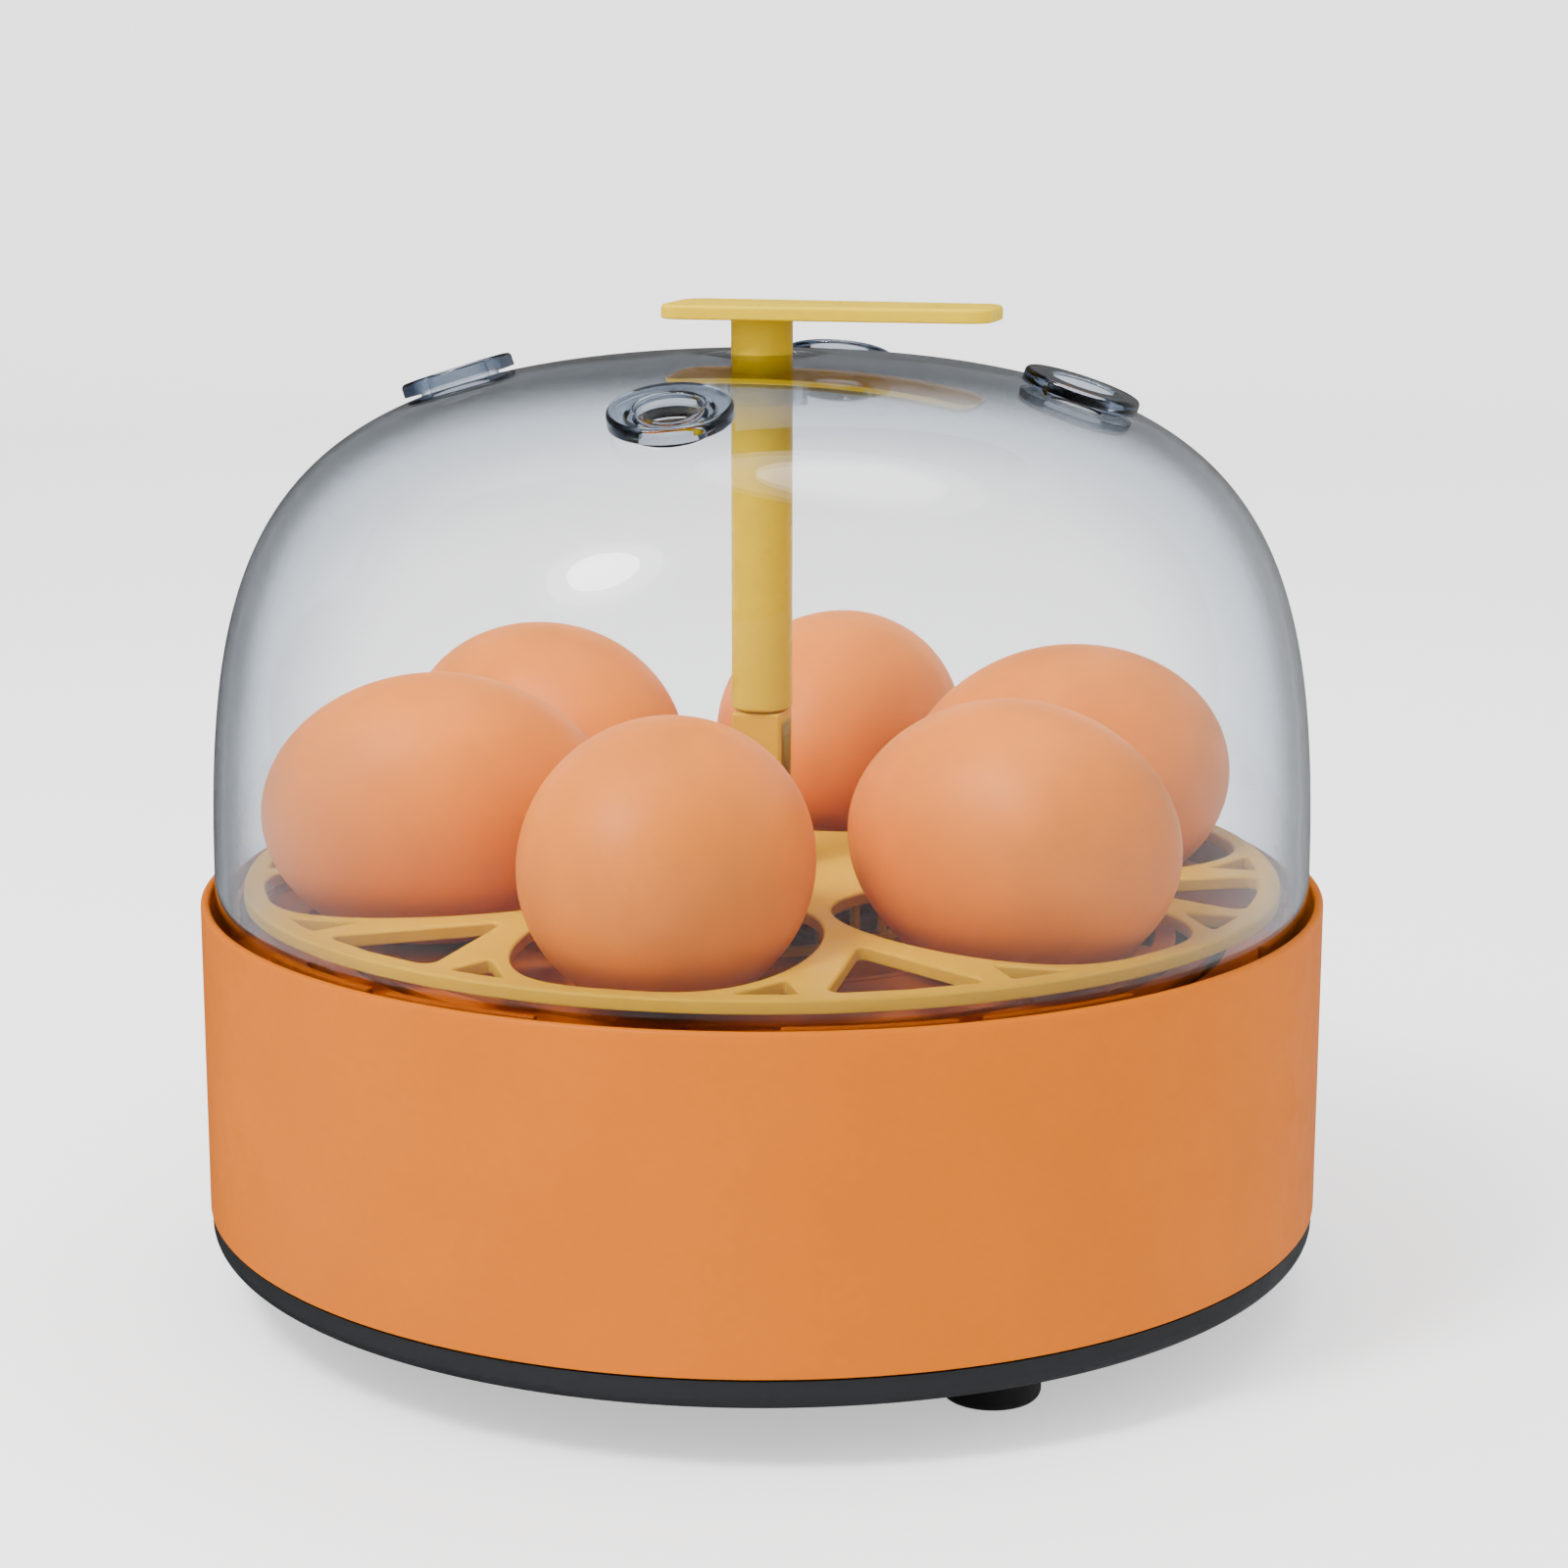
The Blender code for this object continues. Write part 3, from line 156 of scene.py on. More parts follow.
def inset(loop, distance):
    """The loop moved to its own left by a distance."""
    moved = []
    for i, here in enumerate(loop):
        before = (Vector(here) - Vector(loop[i - 1])).normalized()
        after = (Vector(loop[(i + 1) % len(loop)]) - Vector(here)).normalized()
        left = (before + after).normalized()
        moved.append((here[0] - left.y * distance, here[1] + left.x * distance))
    return moved


def turned_to(points, bearing):
    """Points drawn around +X, turned so that +X lies at a bearing."""
    turn = Matrix.Rotation(math.radians(bearing - 90), 2)
    return [tuple(turn @ Vector(p)) for p in points]


# Node trees ---------------------------------------------------------------------------------
class Link:
    """A node's output socket that can stand in a sum."""

    def __init__(self, graph, socket):
        self.graph = graph
        self.socket = socket

    def other(self, name):
        return Link(self.graph, self.socket.node.outputs[name])

    def calculate(self, operation, *values):
        return self.graph.node("ShaderNodeMath", {"operation": operation}, (self, *values))

    def __add__(self, value):
        return self.calculate("ADD", value)

    def __mul__(self, value):
        return self.calculate("MULTIPLY", value)

    def __truediv__(self, value):
        return self.calculate("DIVIDE", value)

    def __mod__(self, value):
        return self.calculate("FLOORED_MODULO", value)



class Graph:
    """A node tree built by code."""

    def __init__(self, tree):
        self.tree = tree

    def node(self, kind, settings=None, values=(), output=0):
        """Adds a node. values holds links or plain values, by place, or by name in a dict."""
        node = self.tree.nodes.new(kind)
        for name, value in (settings or {}).items():
            setattr(node, name, value)
        pairs = values.items() if isinstance(values, dict) else enumerate(values)
        for key, value in pairs:
            socket = node.inputs[key]
            if isinstance(value, Link):
                self.tree.links.new(value.socket, socket)
            elif value is not None:
                socket.default_value = value
        return Link(self, node.outputs[output]) if node.outputs else node


def geometry_graph(name, inputs):
    """A geometry tree with a Geometry input, the inputs named, and a Material input."""
    tree = bpy.data.node_groups.new(name, "GeometryNodeTree")
    for label, kind in (("Geometry", "Geometry"), *inputs, ("Material", "Material")):
        tree.interface.new_socket(label, in_out="INPUT", socket_type="NodeSocket" + kind)
    tree.interface.new_socket("Geometry", in_out="OUTPUT", socket_type="NodeSocketGeometry")
    graph = Graph(tree)
    return graph, graph.node("NodeGroupInput")


def finish_geometry(graph, source, shape):
    """Ends a geometry tree in plain, finished faces."""
    plain = graph.node("GeometryNodeRealizeInstances", None, [shape])
    finished = graph.node("GeometryNodeSetMaterial", None, [plain, None, source.other("Material")])
    graph.node("NodeGroupOutput", None, [finished])
    return graph.tree


@cache
def turning_tree():
    """Turns a closed row of points in the XZ plane around Z."""
    graph, source = geometry_graph("turn_around_axis", [("Steps", "Int")])
    steps = source.other("Steps")
    rows = graph.node("GeometryNodeAttributeDomainSize", None, [source])
    sheet = graph.node("GeometryNodeMeshGrid", None, [1.0, 1.0, steps + 1, rows + 1])
    index = graph.node("GeometryNodeInputIndex")
    column = (index / (rows + 1)).calculate("FLOOR")
    row = (index % (rows + 1)) % rows
    sampling = {"data_type": "FLOAT_VECTOR", "domain": "POINT"}
    position = graph.node("GeometryNodeInputPosition")
    point = graph.node("GeometryNodeSampleIndex", sampling, [source, position, row])
    parts = graph.node("ShaderNodeSeparateXYZ", None, [point])
    angle = column * math.tau / steps
    x = parts * angle.calculate("COSINE")
    y = parts * angle.calculate("SINE")
    place = graph.node("ShaderNodeCombineXYZ", None, [x, y, parts.other("Z")])
    bent = graph.node("GeometryNodeSetPosition", None, [sheet, None, place])
    closed = graph.node("GeometryNodeMergeByDistance", None, {"Geometry": bent, "Distance": 1e-6})
    return finish_geometry(graph, source, closed)


@cache
def repeating_tree():
    """Repeats a shape around Z."""
    graph, source = geometry_graph("repeat_around_axis", [("Count", "Int"), ("First", "Float")])
    count = source.other("Count")
    points = graph.node("GeometryNodePoints", None, [count])
    index = graph.node("GeometryNodeInputIndex")
    angle = index * math.tau / count + source.other("First")
    turn = graph.node("ShaderNodeCombineXYZ", None, [0.0, 0.0, angle])
    copies = {"Points": points, "Instance": source, "Rotation": turn}
    return finish_geometry(graph, source, graph.node("GeometryNodeInstanceOnPoints", None, copies))


@cache
def coil_tree():
    """A wire wound round a ring."""
    inputs = [("Ring Radius", "Float"), ("Winding Radius", "Float"), ("Wire Radius", "Float")]
    inputs += [("Height", "Float"), ("Turns", "Int")]
    graph, source = geometry_graph("wind_round_ring", inputs)
    turns = source.other("Turns")
    points = turns * WIRE_POINTS
    index = graph.node("GeometryNodeInputIndex")
    lap = index / points * math.tau
    wind = lap * turns
    winding, height = source.other("Winding Radius"), source.other("Height")
    reach = wind.calculate("COSINE") * winding + source.other("Ring Radius")
    rise = wind.calculate("SINE") * winding + height
    x, y = reach * lap.calculate("COSINE"), reach * lap.calculate("SINE")
    place = graph.node("ShaderNodeCombineXYZ", None, [x, y, rise])
    path = graph.node("GeometryNodeCurvePrimitiveCircle", None, {"Resolution": points})
    bent = graph.node("GeometryNodeSetPosition", None, [path, None, place])
    wire = {"Resolution": WIRE_SIDES, "Radius": source.other("Wire Radius")}
    section = graph.node("GeometryNodeCurvePrimitiveCircle", None, wire)
    tube = graph.node("GeometryNodeCurveToMesh", None, {"Curve": bent, "Profile Curve": section})
    return finish_geometry(graph, source, tube)




def grow(piece, builder, material, **inputs):
    """Runs a geometry tree on a piece and leaves a plain mesh."""
    modifier = piece.modifiers.new("Build", "NODES")
    modifier.node_group = builder()
    inputs["Material"] = material
    for item in modifier.node_group.interface.items_tree:
        label = item.name.replace(" ", "_")
        if item.in_out == "INPUT" and label in inputs:
            modifier[item.identifier] = inputs[label]
    return settle(piece, material)


def baked(piece):
    """Turns a piece's modifiers into plain mesh."""
    depsgraph = bpy.context.evaluated_depsgraph_get()
    mesh = bpy.data.meshes.new_from_object(piece.evaluated_get(depsgraph))
    piece.modifiers.clear()
    old, piece.data = piece.data, mesh
    bpy.data.meshes.remove(old)
    mesh.name = piece.name
    return mesh


def settle(piece, material):
    """Applies a piece's modifiers, drops loose edges and points its faces out."""
    mesh = baked(piece)
    data = bmesh.new()
    data.from_mesh(mesh)
    for edge in [edge for edge in data.edges if not edge.link_faces]:
        data.edges.remove(edge)
    bmesh.ops.recalc_face_normals(data, faces=data.faces)
    data.to_mesh(mesh)
    data.free()
    mesh.materials.clear()
    mesh.materials.append(material)
    for face in mesh.polygons:
        face.material_index = 0
    return piece


def smooth(piece):
    """Smooths round faces, keeps creases sharp and flat faces flat."""
    piece.data.shade_smooth()
    piece.data.set_sharp_from_angle(angle=math.radians(SHARP_ANGLE))
    weighting = piece.modifiers.new("Weight", "WEIGHTED_NORMAL")
    weighting.keep_sharp = True
    baked(piece)


# Pieces -------------------------------------------------------------------------------------
def add_piece(name, data, material=None):
    """Makes an object from a bmesh."""
    mesh = bpy.data.meshes.new(name)
    data.to_mesh(mesh)
    data.free()
    piece = bpy.data.objects.new(name, mesh)
    bpy.context.scene.collection.objects.link(piece)
    if material:
        mesh.materials.append(material)
    return piece


def turned(name, outline, steps, material, place=None):
    """A turned piece from a closed (radius, height) outline, moved by a matrix."""
    data = bmesh.new()
    for radius, height in outline:
        data.verts.new((radius, 0, height))
    piece = grow(add_piece(name, data), turning_tree, material, Steps=steps)
    return moved(piece, place) if place else piece


def repeat(piece, count, first, material):
    """Repeats a piece around the axis from a bearing of its own place plus first degrees."""
    return grow(piece, repeating_tree, material, Count=count, First=math.radians(first))


def rim(level, edge, upward, steps):
    """Heights and insets of a rounded rim, from the wall to the flat face."""
    if not edge:
        return [(level, 0.0)]
    angles = [math.pi / 2 * i / steps for i in range(steps + 1)]
    return [(level - upward * edge * (1 - math.sin(a)), edge * (1 - math.cos(a))) for a in angles]


def plate(name, loops, bottom, top, material, top_edge=0.0, bottom_edge=0.0, steps=4):
    """A plate between two levels with rounded rims. The first loop is its outside."""
    data = bmesh.new()
    rows = rim(bottom, bottom_edge, -1, steps)[::-1] + rim(top, top_edge, 1, steps)
    caps = [[], []]
    for index, loop in enumerate(loops):
        if (area(loop) > 0) != (index == 0):
            loop = loop[::-1]
        rings = [[data.verts.new((x, y, z)) for x, y in inset(loop, d)] for z, d in rows]
        for lower, upper in zip(rings, rings[1:]):
            for i in range(len(loop)):
                j = (i + 1) % len(loop)
                data.faces.new((lower[i], lower[j], upper[j], upper[i]))
        for cap, ring in zip(caps, (rings[0], rings[-1])):
            cap += [data.edges.get((ring[i - 1], ring[i])) for i in range(len(ring))]
    for cap in caps:
        bmesh.ops.triangle_fill(data, use_beauty=True, edges=cap)
    bmesh.ops.recalc_face_normals(data, faces=data.faces)
    return add_piece(name, data, material)


def block(name, low, high, material, edge=0.0):
    """A box with rounded upright corners and rims."""
    loop = rectangle(low[0], high[0], low[1], high[1], edge)
    return plate(name, [loop], low[2], high[2], material, edge, edge, 3)


def join(name, pieces, material):
    """Puts pieces into one mesh."""
    data = bmesh.new()
    for piece in pieces:
        data.from_mesh(piece.data)
        bpy.data.objects.remove(piece)
    joined = add_piece(name, data, material)
    for face in joined.data.polygons:
        face.material_index = 0
    return joined


def moved(piece, matrix):
    """Moves a piece by changing its mesh, and keeps its object at the origin."""
    piece.data.transform(matrix)
    return piece


def carve(piece, cutters, material):
    """Cuts closed pieces out of a piece."""
    for cutter in cutters:
        modifier = piece.modifiers.new(cutter.name, "BOOLEAN")
        modifier.operation = "DIFFERENCE"
        modifier.solver = "EXACT"
        modifier.object = cutter
    settle(piece, material)
    for cutter in cutters:
        bpy.data.objects.remove(cutter)
    return piece


def spot(bearing, radius, height=0):
    """A matrix that moves a piece out from the axis to a bearing."""
    return Matrix.Translation((*around(radius, bearing), height))


def radial(bearing, radius, height):
    """A matrix that lays +Z along the outward direction at a bearing."""
    outward = Vector((*around(1, bearing), 0))
    turn = outward.to_track_quat("Z", "Y").to_matrix().to_4x4()
    return spot(bearing, radius, height) @ turn


def mount(piece, body, slot, *nodes):
    """Fastens a finished piece to its body and hides the nodes it stands for."""
    smooth(piece)
    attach(piece, body)
    if nodes:
        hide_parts(*nodes)
    return piece


# Finishes -----------------------------------------------------------------------------------
WHITE = (1.0, 1.0, 1.0, 1.0)
CLEAR_SHINE = (0.35, 0.35, 0.35, 1)
CLEAR_SHADE = (0.8, 0.82, 0.84, 1)
# Facing ranges where the clear plastic's colour is darkened: a faint painted shade on the sides and
# a nearly black painted shade at the rim.
SIDE_SHADE_FACING = (0.25, 0.65)
RIM_SHADE_FACING = (0.6, 0.84)


def tone(colour, factor):
    return [min(1.0, c * factor) for c in colour[:3]] + [1.0]


class Finish(Graph):
    """A procedural material with one Principled shader."""

    def __init__(self, name, **constants):
        self.material = bpy.data.materials.new(name)
        self.material.use_nodes = True
        super().__init__(self.material.node_tree)
        self.shader = self.tree.nodes["Principled BSDF"]
        self.end = self.tree.nodes["Material Output"]
        for socket, value in constants.items():
            self.shader.inputs[socket.replace("_", " ")].default_value = value
        self.place = self.node("ShaderNodeTexCoord").other("Object")

    def noise(self, size, detail=2.0, roughness=0.5):
        """Cloudy noise whose lumps measure about size metres."""
        values = {"Vector": self.place, "Scale": 1 / size, "Detail": detail, "Roughness": roughness}
        return self.node("ShaderNodeTexNoise", None, values)

    def cells(self, size, feature="F1"):
        values = {"Vector": self.place, "Scale": 1 / size}
        return self.node("ShaderNodeTexVoronoi", {"feature": feature}, values)

    def ramp(self, value, low, high, start=0.0, end=1.0):
        """Eases from low to high while a value runs from start to end."""
        kind = {"interpolation_type": "SMOOTHSTEP"}
        return self.node("ShaderNodeMapRange", kind, [value, start, end, low, high])

    def blend(self, factor, first, second):
        """A colour between two."""
        values = {0: factor, 6: first, 7: second}
        return self.node("ShaderNodeMix", {"data_type": "RGBA"}, values, output=2)

    def relief(self, height, distance, strength=1.0):
        """A bumped normal from a height that runs from 0 to 1."""
        values = {"Strength": strength, "Distance": distance, "Height": height}
        return self.node("ShaderNodeBump", None, values)

    def wire(self, **links):
        for socket, link in links.items():
            self.tree.links.new(link.socket, self.shader.inputs[socket.replace("_", " ")])
        return self.material


def moulded_plastic(name, colour, roughness, grain=0.35 * MM, depth=0.02 * MM, soft=0.0):
    """Moulded plastic: a fine spark-eroded grain, faint flow clouds and rubbed patches."""
    finish = Finish(name, Specular_IOR_Level=0.06, IOR=PLASTIC_IOR, Subsurface_Weight=soft,
                    Subsurface_Radius=(2.5 * MM, 1.4 * MM, 0.7 * MM), Subsurface_Scale=1.0)
    shift = finish.noise(28 * MM, 3.0) * 0.7 + finish.noise(1.6 * MM) * 0.3
    flow = finish.ramp(shift, 0.0, 1.0, 0.3, 0.7)
    tint = finish.blend(flow, tone(colour, 0.955), tone(colour, 1.04))
    rub = finish.ramp(finish.noise(9 * MM, 4.0), roughness - 0.04, roughness + 0.05, 0.35, 0.65)
    fine = finish.noise(grain, 2.0, 0.6)
    return finish.wire(Base_Color=tint, Roughness=rub, Normal=finish.relief(fine, depth, 0.6))


def clear_plastic(name, tint, density, roughness):
    """Polished clear plastic that swallows a little light along its thickness. Its colour is
    darkened by facing: painted shade towards the edges, nearly black at the rim.
    """
    finish = Finish(name, Transmission_Weight=1.0, IOR=CLEAR_IOR, Specular_Tint=CLEAR_SHINE)
    haze = finish.ramp(finish.noise(14 * MM, 4.0), roughness, roughness * 1.8, 0.45, 0.7)
    ripple = finish.relief(finish.noise(26 * MM, 1.0), 0.05 * MM, 0.5)
    # Painted shade: the base colour darkens as the surface turns away from view, faintly on the
    # sides and nearly black at the rim.
    facing = finish.node("ShaderNodeLayerWeight", None, [0.5], "Facing")
    painted_side_shade = [c ** 0.6 for c in tint[:3]] + [1.0]
    body = finish.blend(finish.ramp(facing, 0.0, 1.0, *SIDE_SHADE_FACING), WHITE, painted_side_shade)
    body = finish.blend(finish.ramp(facing, 0.0, 1.0, *RIM_SHADE_FACING), body, tone(tint, 0.1))
    absorb = finish.node("ShaderNodeVolumeAbsorption", None, [tint, density])
    finish.tree.links.new(absorb.socket, finish.end.inputs["Volume"])
    passing = finish.node("ShaderNodeBsdfTransparent", None, [CLEAR_SHADE])
    lamp = finish.node("ShaderNodeLightPath").other("Is Shadow Ray")
    plain = Link(finish, finish.shader.outputs[0])
    mixed = finish.node("ShaderNodeMixShader", None, [lamp, plain, passing])
    finish.tree.links.new(mixed.socket, finish.end.inputs["Surface"])
    return finish.wire(Base_Color=body, Roughness=haze, Normal=ripple)


def eggshell(colour, seed):
    """Brown eggshell: blotchy pigment, fine speckles and pores."""
    finish = Finish("eggshell_%d" % seed, Specular_IOR_Level=0.25, IOR=PLASTIC_IOR,
                    Subsurface_Weight=0.12, Subsurface_Scale=1.0,
                    Subsurface_Radius=(3.0 * MM, 1.2 * MM, 0.6 * MM))
    shift = (seed * 0.37, seed * 0.71, seed * 0.13)
    finish.place = finish.node("ShaderNodeMapping", None, {0: finish.place, 1: shift})
    cloud = finish.noise(16 * MM, 4.0, 0.55)
    blotch = finish.ramp(cloud, 0.0, 1.0, 0.35, 0.68)
    tint = finish.blend(blotch, tone(colour, 1.06), tone(colour, 0.93))
    speck = finish.ramp(finish.noise(1.1 * MM, 1.0), 0.0, 0.45, 0.66, 0.76)
    tint = finish.blend(speck, tint, tone(colour, 0.72))
    pores = finish.cells(0.55 * MM)
    height = finish.noise(0.9 * MM, 3.0) * 0.5 + finish.ramp(pores, 0.0, 0.5, 0.0, 0.5)
    rough = finish.ramp(cloud, 0.46, 0.58, 0.3, 0.7)
    pitted = finish.relief(height, 0.03 * MM, 0.5)
    return finish.wire(Base_Color=tint, Roughness=rough, Normal=pitted)


def rubber(name, colour):
    """Dull rubber with a bloom of dust."""
    finish = Finish(name, Specular_IOR_Level=0.2, IOR=PLASTIC_IOR)
    dust = finish.ramp(finish.noise(3 * MM, 5.0, 0.65), 0.0, 0.5, 0.45, 0.8)
    tint = finish.blend(dust, colour, tone(colour, 2.2))
    rough = finish.ramp(dust, 0.62, 0.85, 0.0, 0.5)
    grain = finish.relief(finish.noise(0.3 * MM), 0.03 * MM)
    return finish.wire(Base_Color=tint, Roughness=rough, Normal=grain)


def metal(name, colour, roughness, stretch=(1.0, 1.0, 12.0)):
    """Drawn or rolled metal with fine streaks."""
    finish = Finish(name, Metallic=1.0)
    finish.place = finish.node("ShaderNodeMapping", None, {0: finish.place, 3: stretch})
    streak = finish.noise(1.2 * MM, 4.0, 0.6)
    tint = finish.blend(streak, tone(colour, 0.9), tone(colour, 1.08))
    rough = finish.ramp(streak, roughness - 0.06, roughness + 0.1, 0.3, 0.7)
    grain = finish.relief(streak, 0.01 * MM, 0.4)
    return finish.wire(Base_Color=tint, Roughness=rough, Normal=grain)


# Settings -----------------------------------------------------------------------------------
def srgb(*seen):
    """A colour in the working space from one as it is seen, from 0 to 255."""
    shares = [value / 255 for value in seen]
    return [((c + 0.055) / 1.055) ** 2.4 if c > 0.04 else c / 12.92 for c in shares] + [1.0]


def colour_setting(name, description, default):
    return FloatVectorProperty(name=name, description=description, default=default, size=4,
                               subtype="COLOR", min=0, max=1)


def length_setting(name, description, default):
    return FloatProperty(name=name, description=description, default=default, unit="LENGTH",
                         subtype="DISTANCE", min=0)


class IncubatorShape(PropertyGroup):
    round_steps: IntProperty(
        name="Round steps", description="Sides of the large round pieces", default=240, min=12)
    small_steps: IntProperty(
        name="Small steps", description="Sides of the small round pieces", default=72, min=12)
    wall: length_setting("Shell wall", "Thickness of the shell's wall", 1.5 * MM)
    dome_wall: length_setting("Dome wall", "Thickness of the dome's wall", 1.8 * MM)
    soft_edge: length_setting("Soft edge", "Radius of the moulded edges", 0.3 * MM)


class IncubatorColours(PropertyGroup):
    shell: colour_setting("Shell", "Orange shell", (0.43, 0.1, 0.0, 1))
    deck: colour_setting("Deck", "Orange deck", (0.4, 0.075, 0.003, 1))
    cover: colour_setting("Cover", "Black cover", srgb(32, 33, 35))
    rubber: colour_setting("Feet", "Rubber feet", srgb(9, 9, 10))
    tray: colour_setting("Tray", "Yellow tray", (0.64, 0.33, 0.0, 1))
    handle: colour_setting("Handle", "Yellow handle", (0.6, 0.4, 0.0, 1))
    egg: colour_setting("Eggs", "Brown eggshell", (0.78, 0.19, 0.0, 1))
    # The dome tint also sets the painted shade at the edges of the dome and the vent rings.
    dome: colour_setting("Dome tint", "What the dome's plastic lets through", (0.36, 0.42, 0.5, 1))


class IncubatorStage(PropertyGroup):
    key_power: FloatProperty(
        name="Key power", description="Power of the large overhead light", default=10.0,
        unit="POWER", min=0)
    fill_power: FloatProperty(
        name="Fill power", description="Power of the side lights", default=1.0, unit="POWER", min=0)
    sun_power: FloatProperty(
        name="Sun power", description="Strength of the even light from above", default=2.6, min=0)
    backdrop: FloatProperty(
        name="Backdrop", description="Glow of the floor and its sweep", default=0.65, min=0)
    ceiling: FloatProperty(
        name="Ceiling", description="Brightness of the room above the sweep", default=0.25, min=0)
    lens: FloatProperty(
        name="Lens", description="Focal length in millimetres", default=77.12, min=1)


class INCUBATOR_OT_piece(Operator):
    """Makes one group of the incubator's pieces"""

    bl_options = {"REGISTER", "UNDO"}

    def execute(self, context):
        self.make(context.scene.incubator_shape, context.scene.incubator_colours)
        return {"FINISHED"}


# Base ---------------------------------------------------------------------------------------
RADIUS = SHELL_HIGH.x
SHELL_BOTTOM, SHELL_TOP = SHELL_LOW.z, SHELL_HIGH.z
DECK_TOP = SHELL_TOP - 7 * MM
DECK_BOTTOM = DECK_TOP - 2 * MM
COVER_BOTTOM = COVER_LOW.z
COVER_FLOOR = COVER_BOTTOM + 3 * MM
SCREW_CIRCLE = 62 * MM
FOOT_CIRCLE = 70 * MM
LEDGE_WIDTH = 4 * MM
CHANNEL = (31 * MM, 39 * MM)
CHANNEL_DEPTH = 3.5 * MM
SPIGOT = (4 * MM, 6.9 * MM)
RIM_RADIUS = 87.6 * MM
SCREW_HEAD, SCREW_LENGTH, THREADS = 2.75 * MM, 14 * MM, 18
JACK_BEARING = 150
JACK_RADIUS = 4.7 * MM
JACK_LEVEL = 32 * MM


class INCUBATOR_OT_shell(INCUBATOR_OT_piece):
    """Makes the orange shell with its full-round lip and inner ledge"""

    bl_idname = "incubator.shell"
    bl_label = "Outer Shell"

    def make(self, shape, colours):
        inner = RADIUS - shape.wall
        lip, edge = shape.wall / 2, shape.soft_edge
        ledge_top = DECK_BOTTOM - GAP
        ledge_inner, ledge_low = inner - LEDGE_WIDTH, ledge_top - 2 * MM
        outline = [(inner, SHELL_BOTTOM)]
        outline += bend(RADIUS, SHELL_BOTTOM, edge, -90)
        levels = [SHELL_BOTTOM + (SHELL_TOP - SHELL_BOTTOM) * k / 6 for k in range(1, 6)]
        outline += [(RADIUS, level) for level in levels]
        outline += arc((RADIUS - lip, SHELL_TOP - lip), lip, 0, 180, 12)
        outline += [(inner, ledge_top + edge), (inner - edge, ledge_top)]
        outline += bend(ledge_inner, ledge_top, edge, 90)
        outline += [(ledge_inner, ledge_low), (inner, ledge_low - LEDGE_WIDTH)]
        plastic = moulded_plastic("orange_plastic", colours.shell, 0.4)
        shell = turned("shell_body", outline, shape.round_steps, plastic)
        low = (PANEL_LOW.x - GAP, PANEL_LOW.y - 1.2 * MM, PANEL_LOW.z - GAP)
        high = (PANEL_HIGH.x + GAP, RADIUS * 1.1, PANEL_HIGH.z + GAP)
        bore = cylinder(JACK_RADIUS + GAP, -12 * MM, 8 * MM)
        jack = turned("jack_cutter", bore, shape.small_steps, plastic,
                      radial(JACK_BEARING, RADIUS, JACK_LEVEL))
        carve(shell, [block("panel_cutter", low, high, plastic), jack], plastic)
        mount(shell, "base", "orange_shell", "outer_shell")


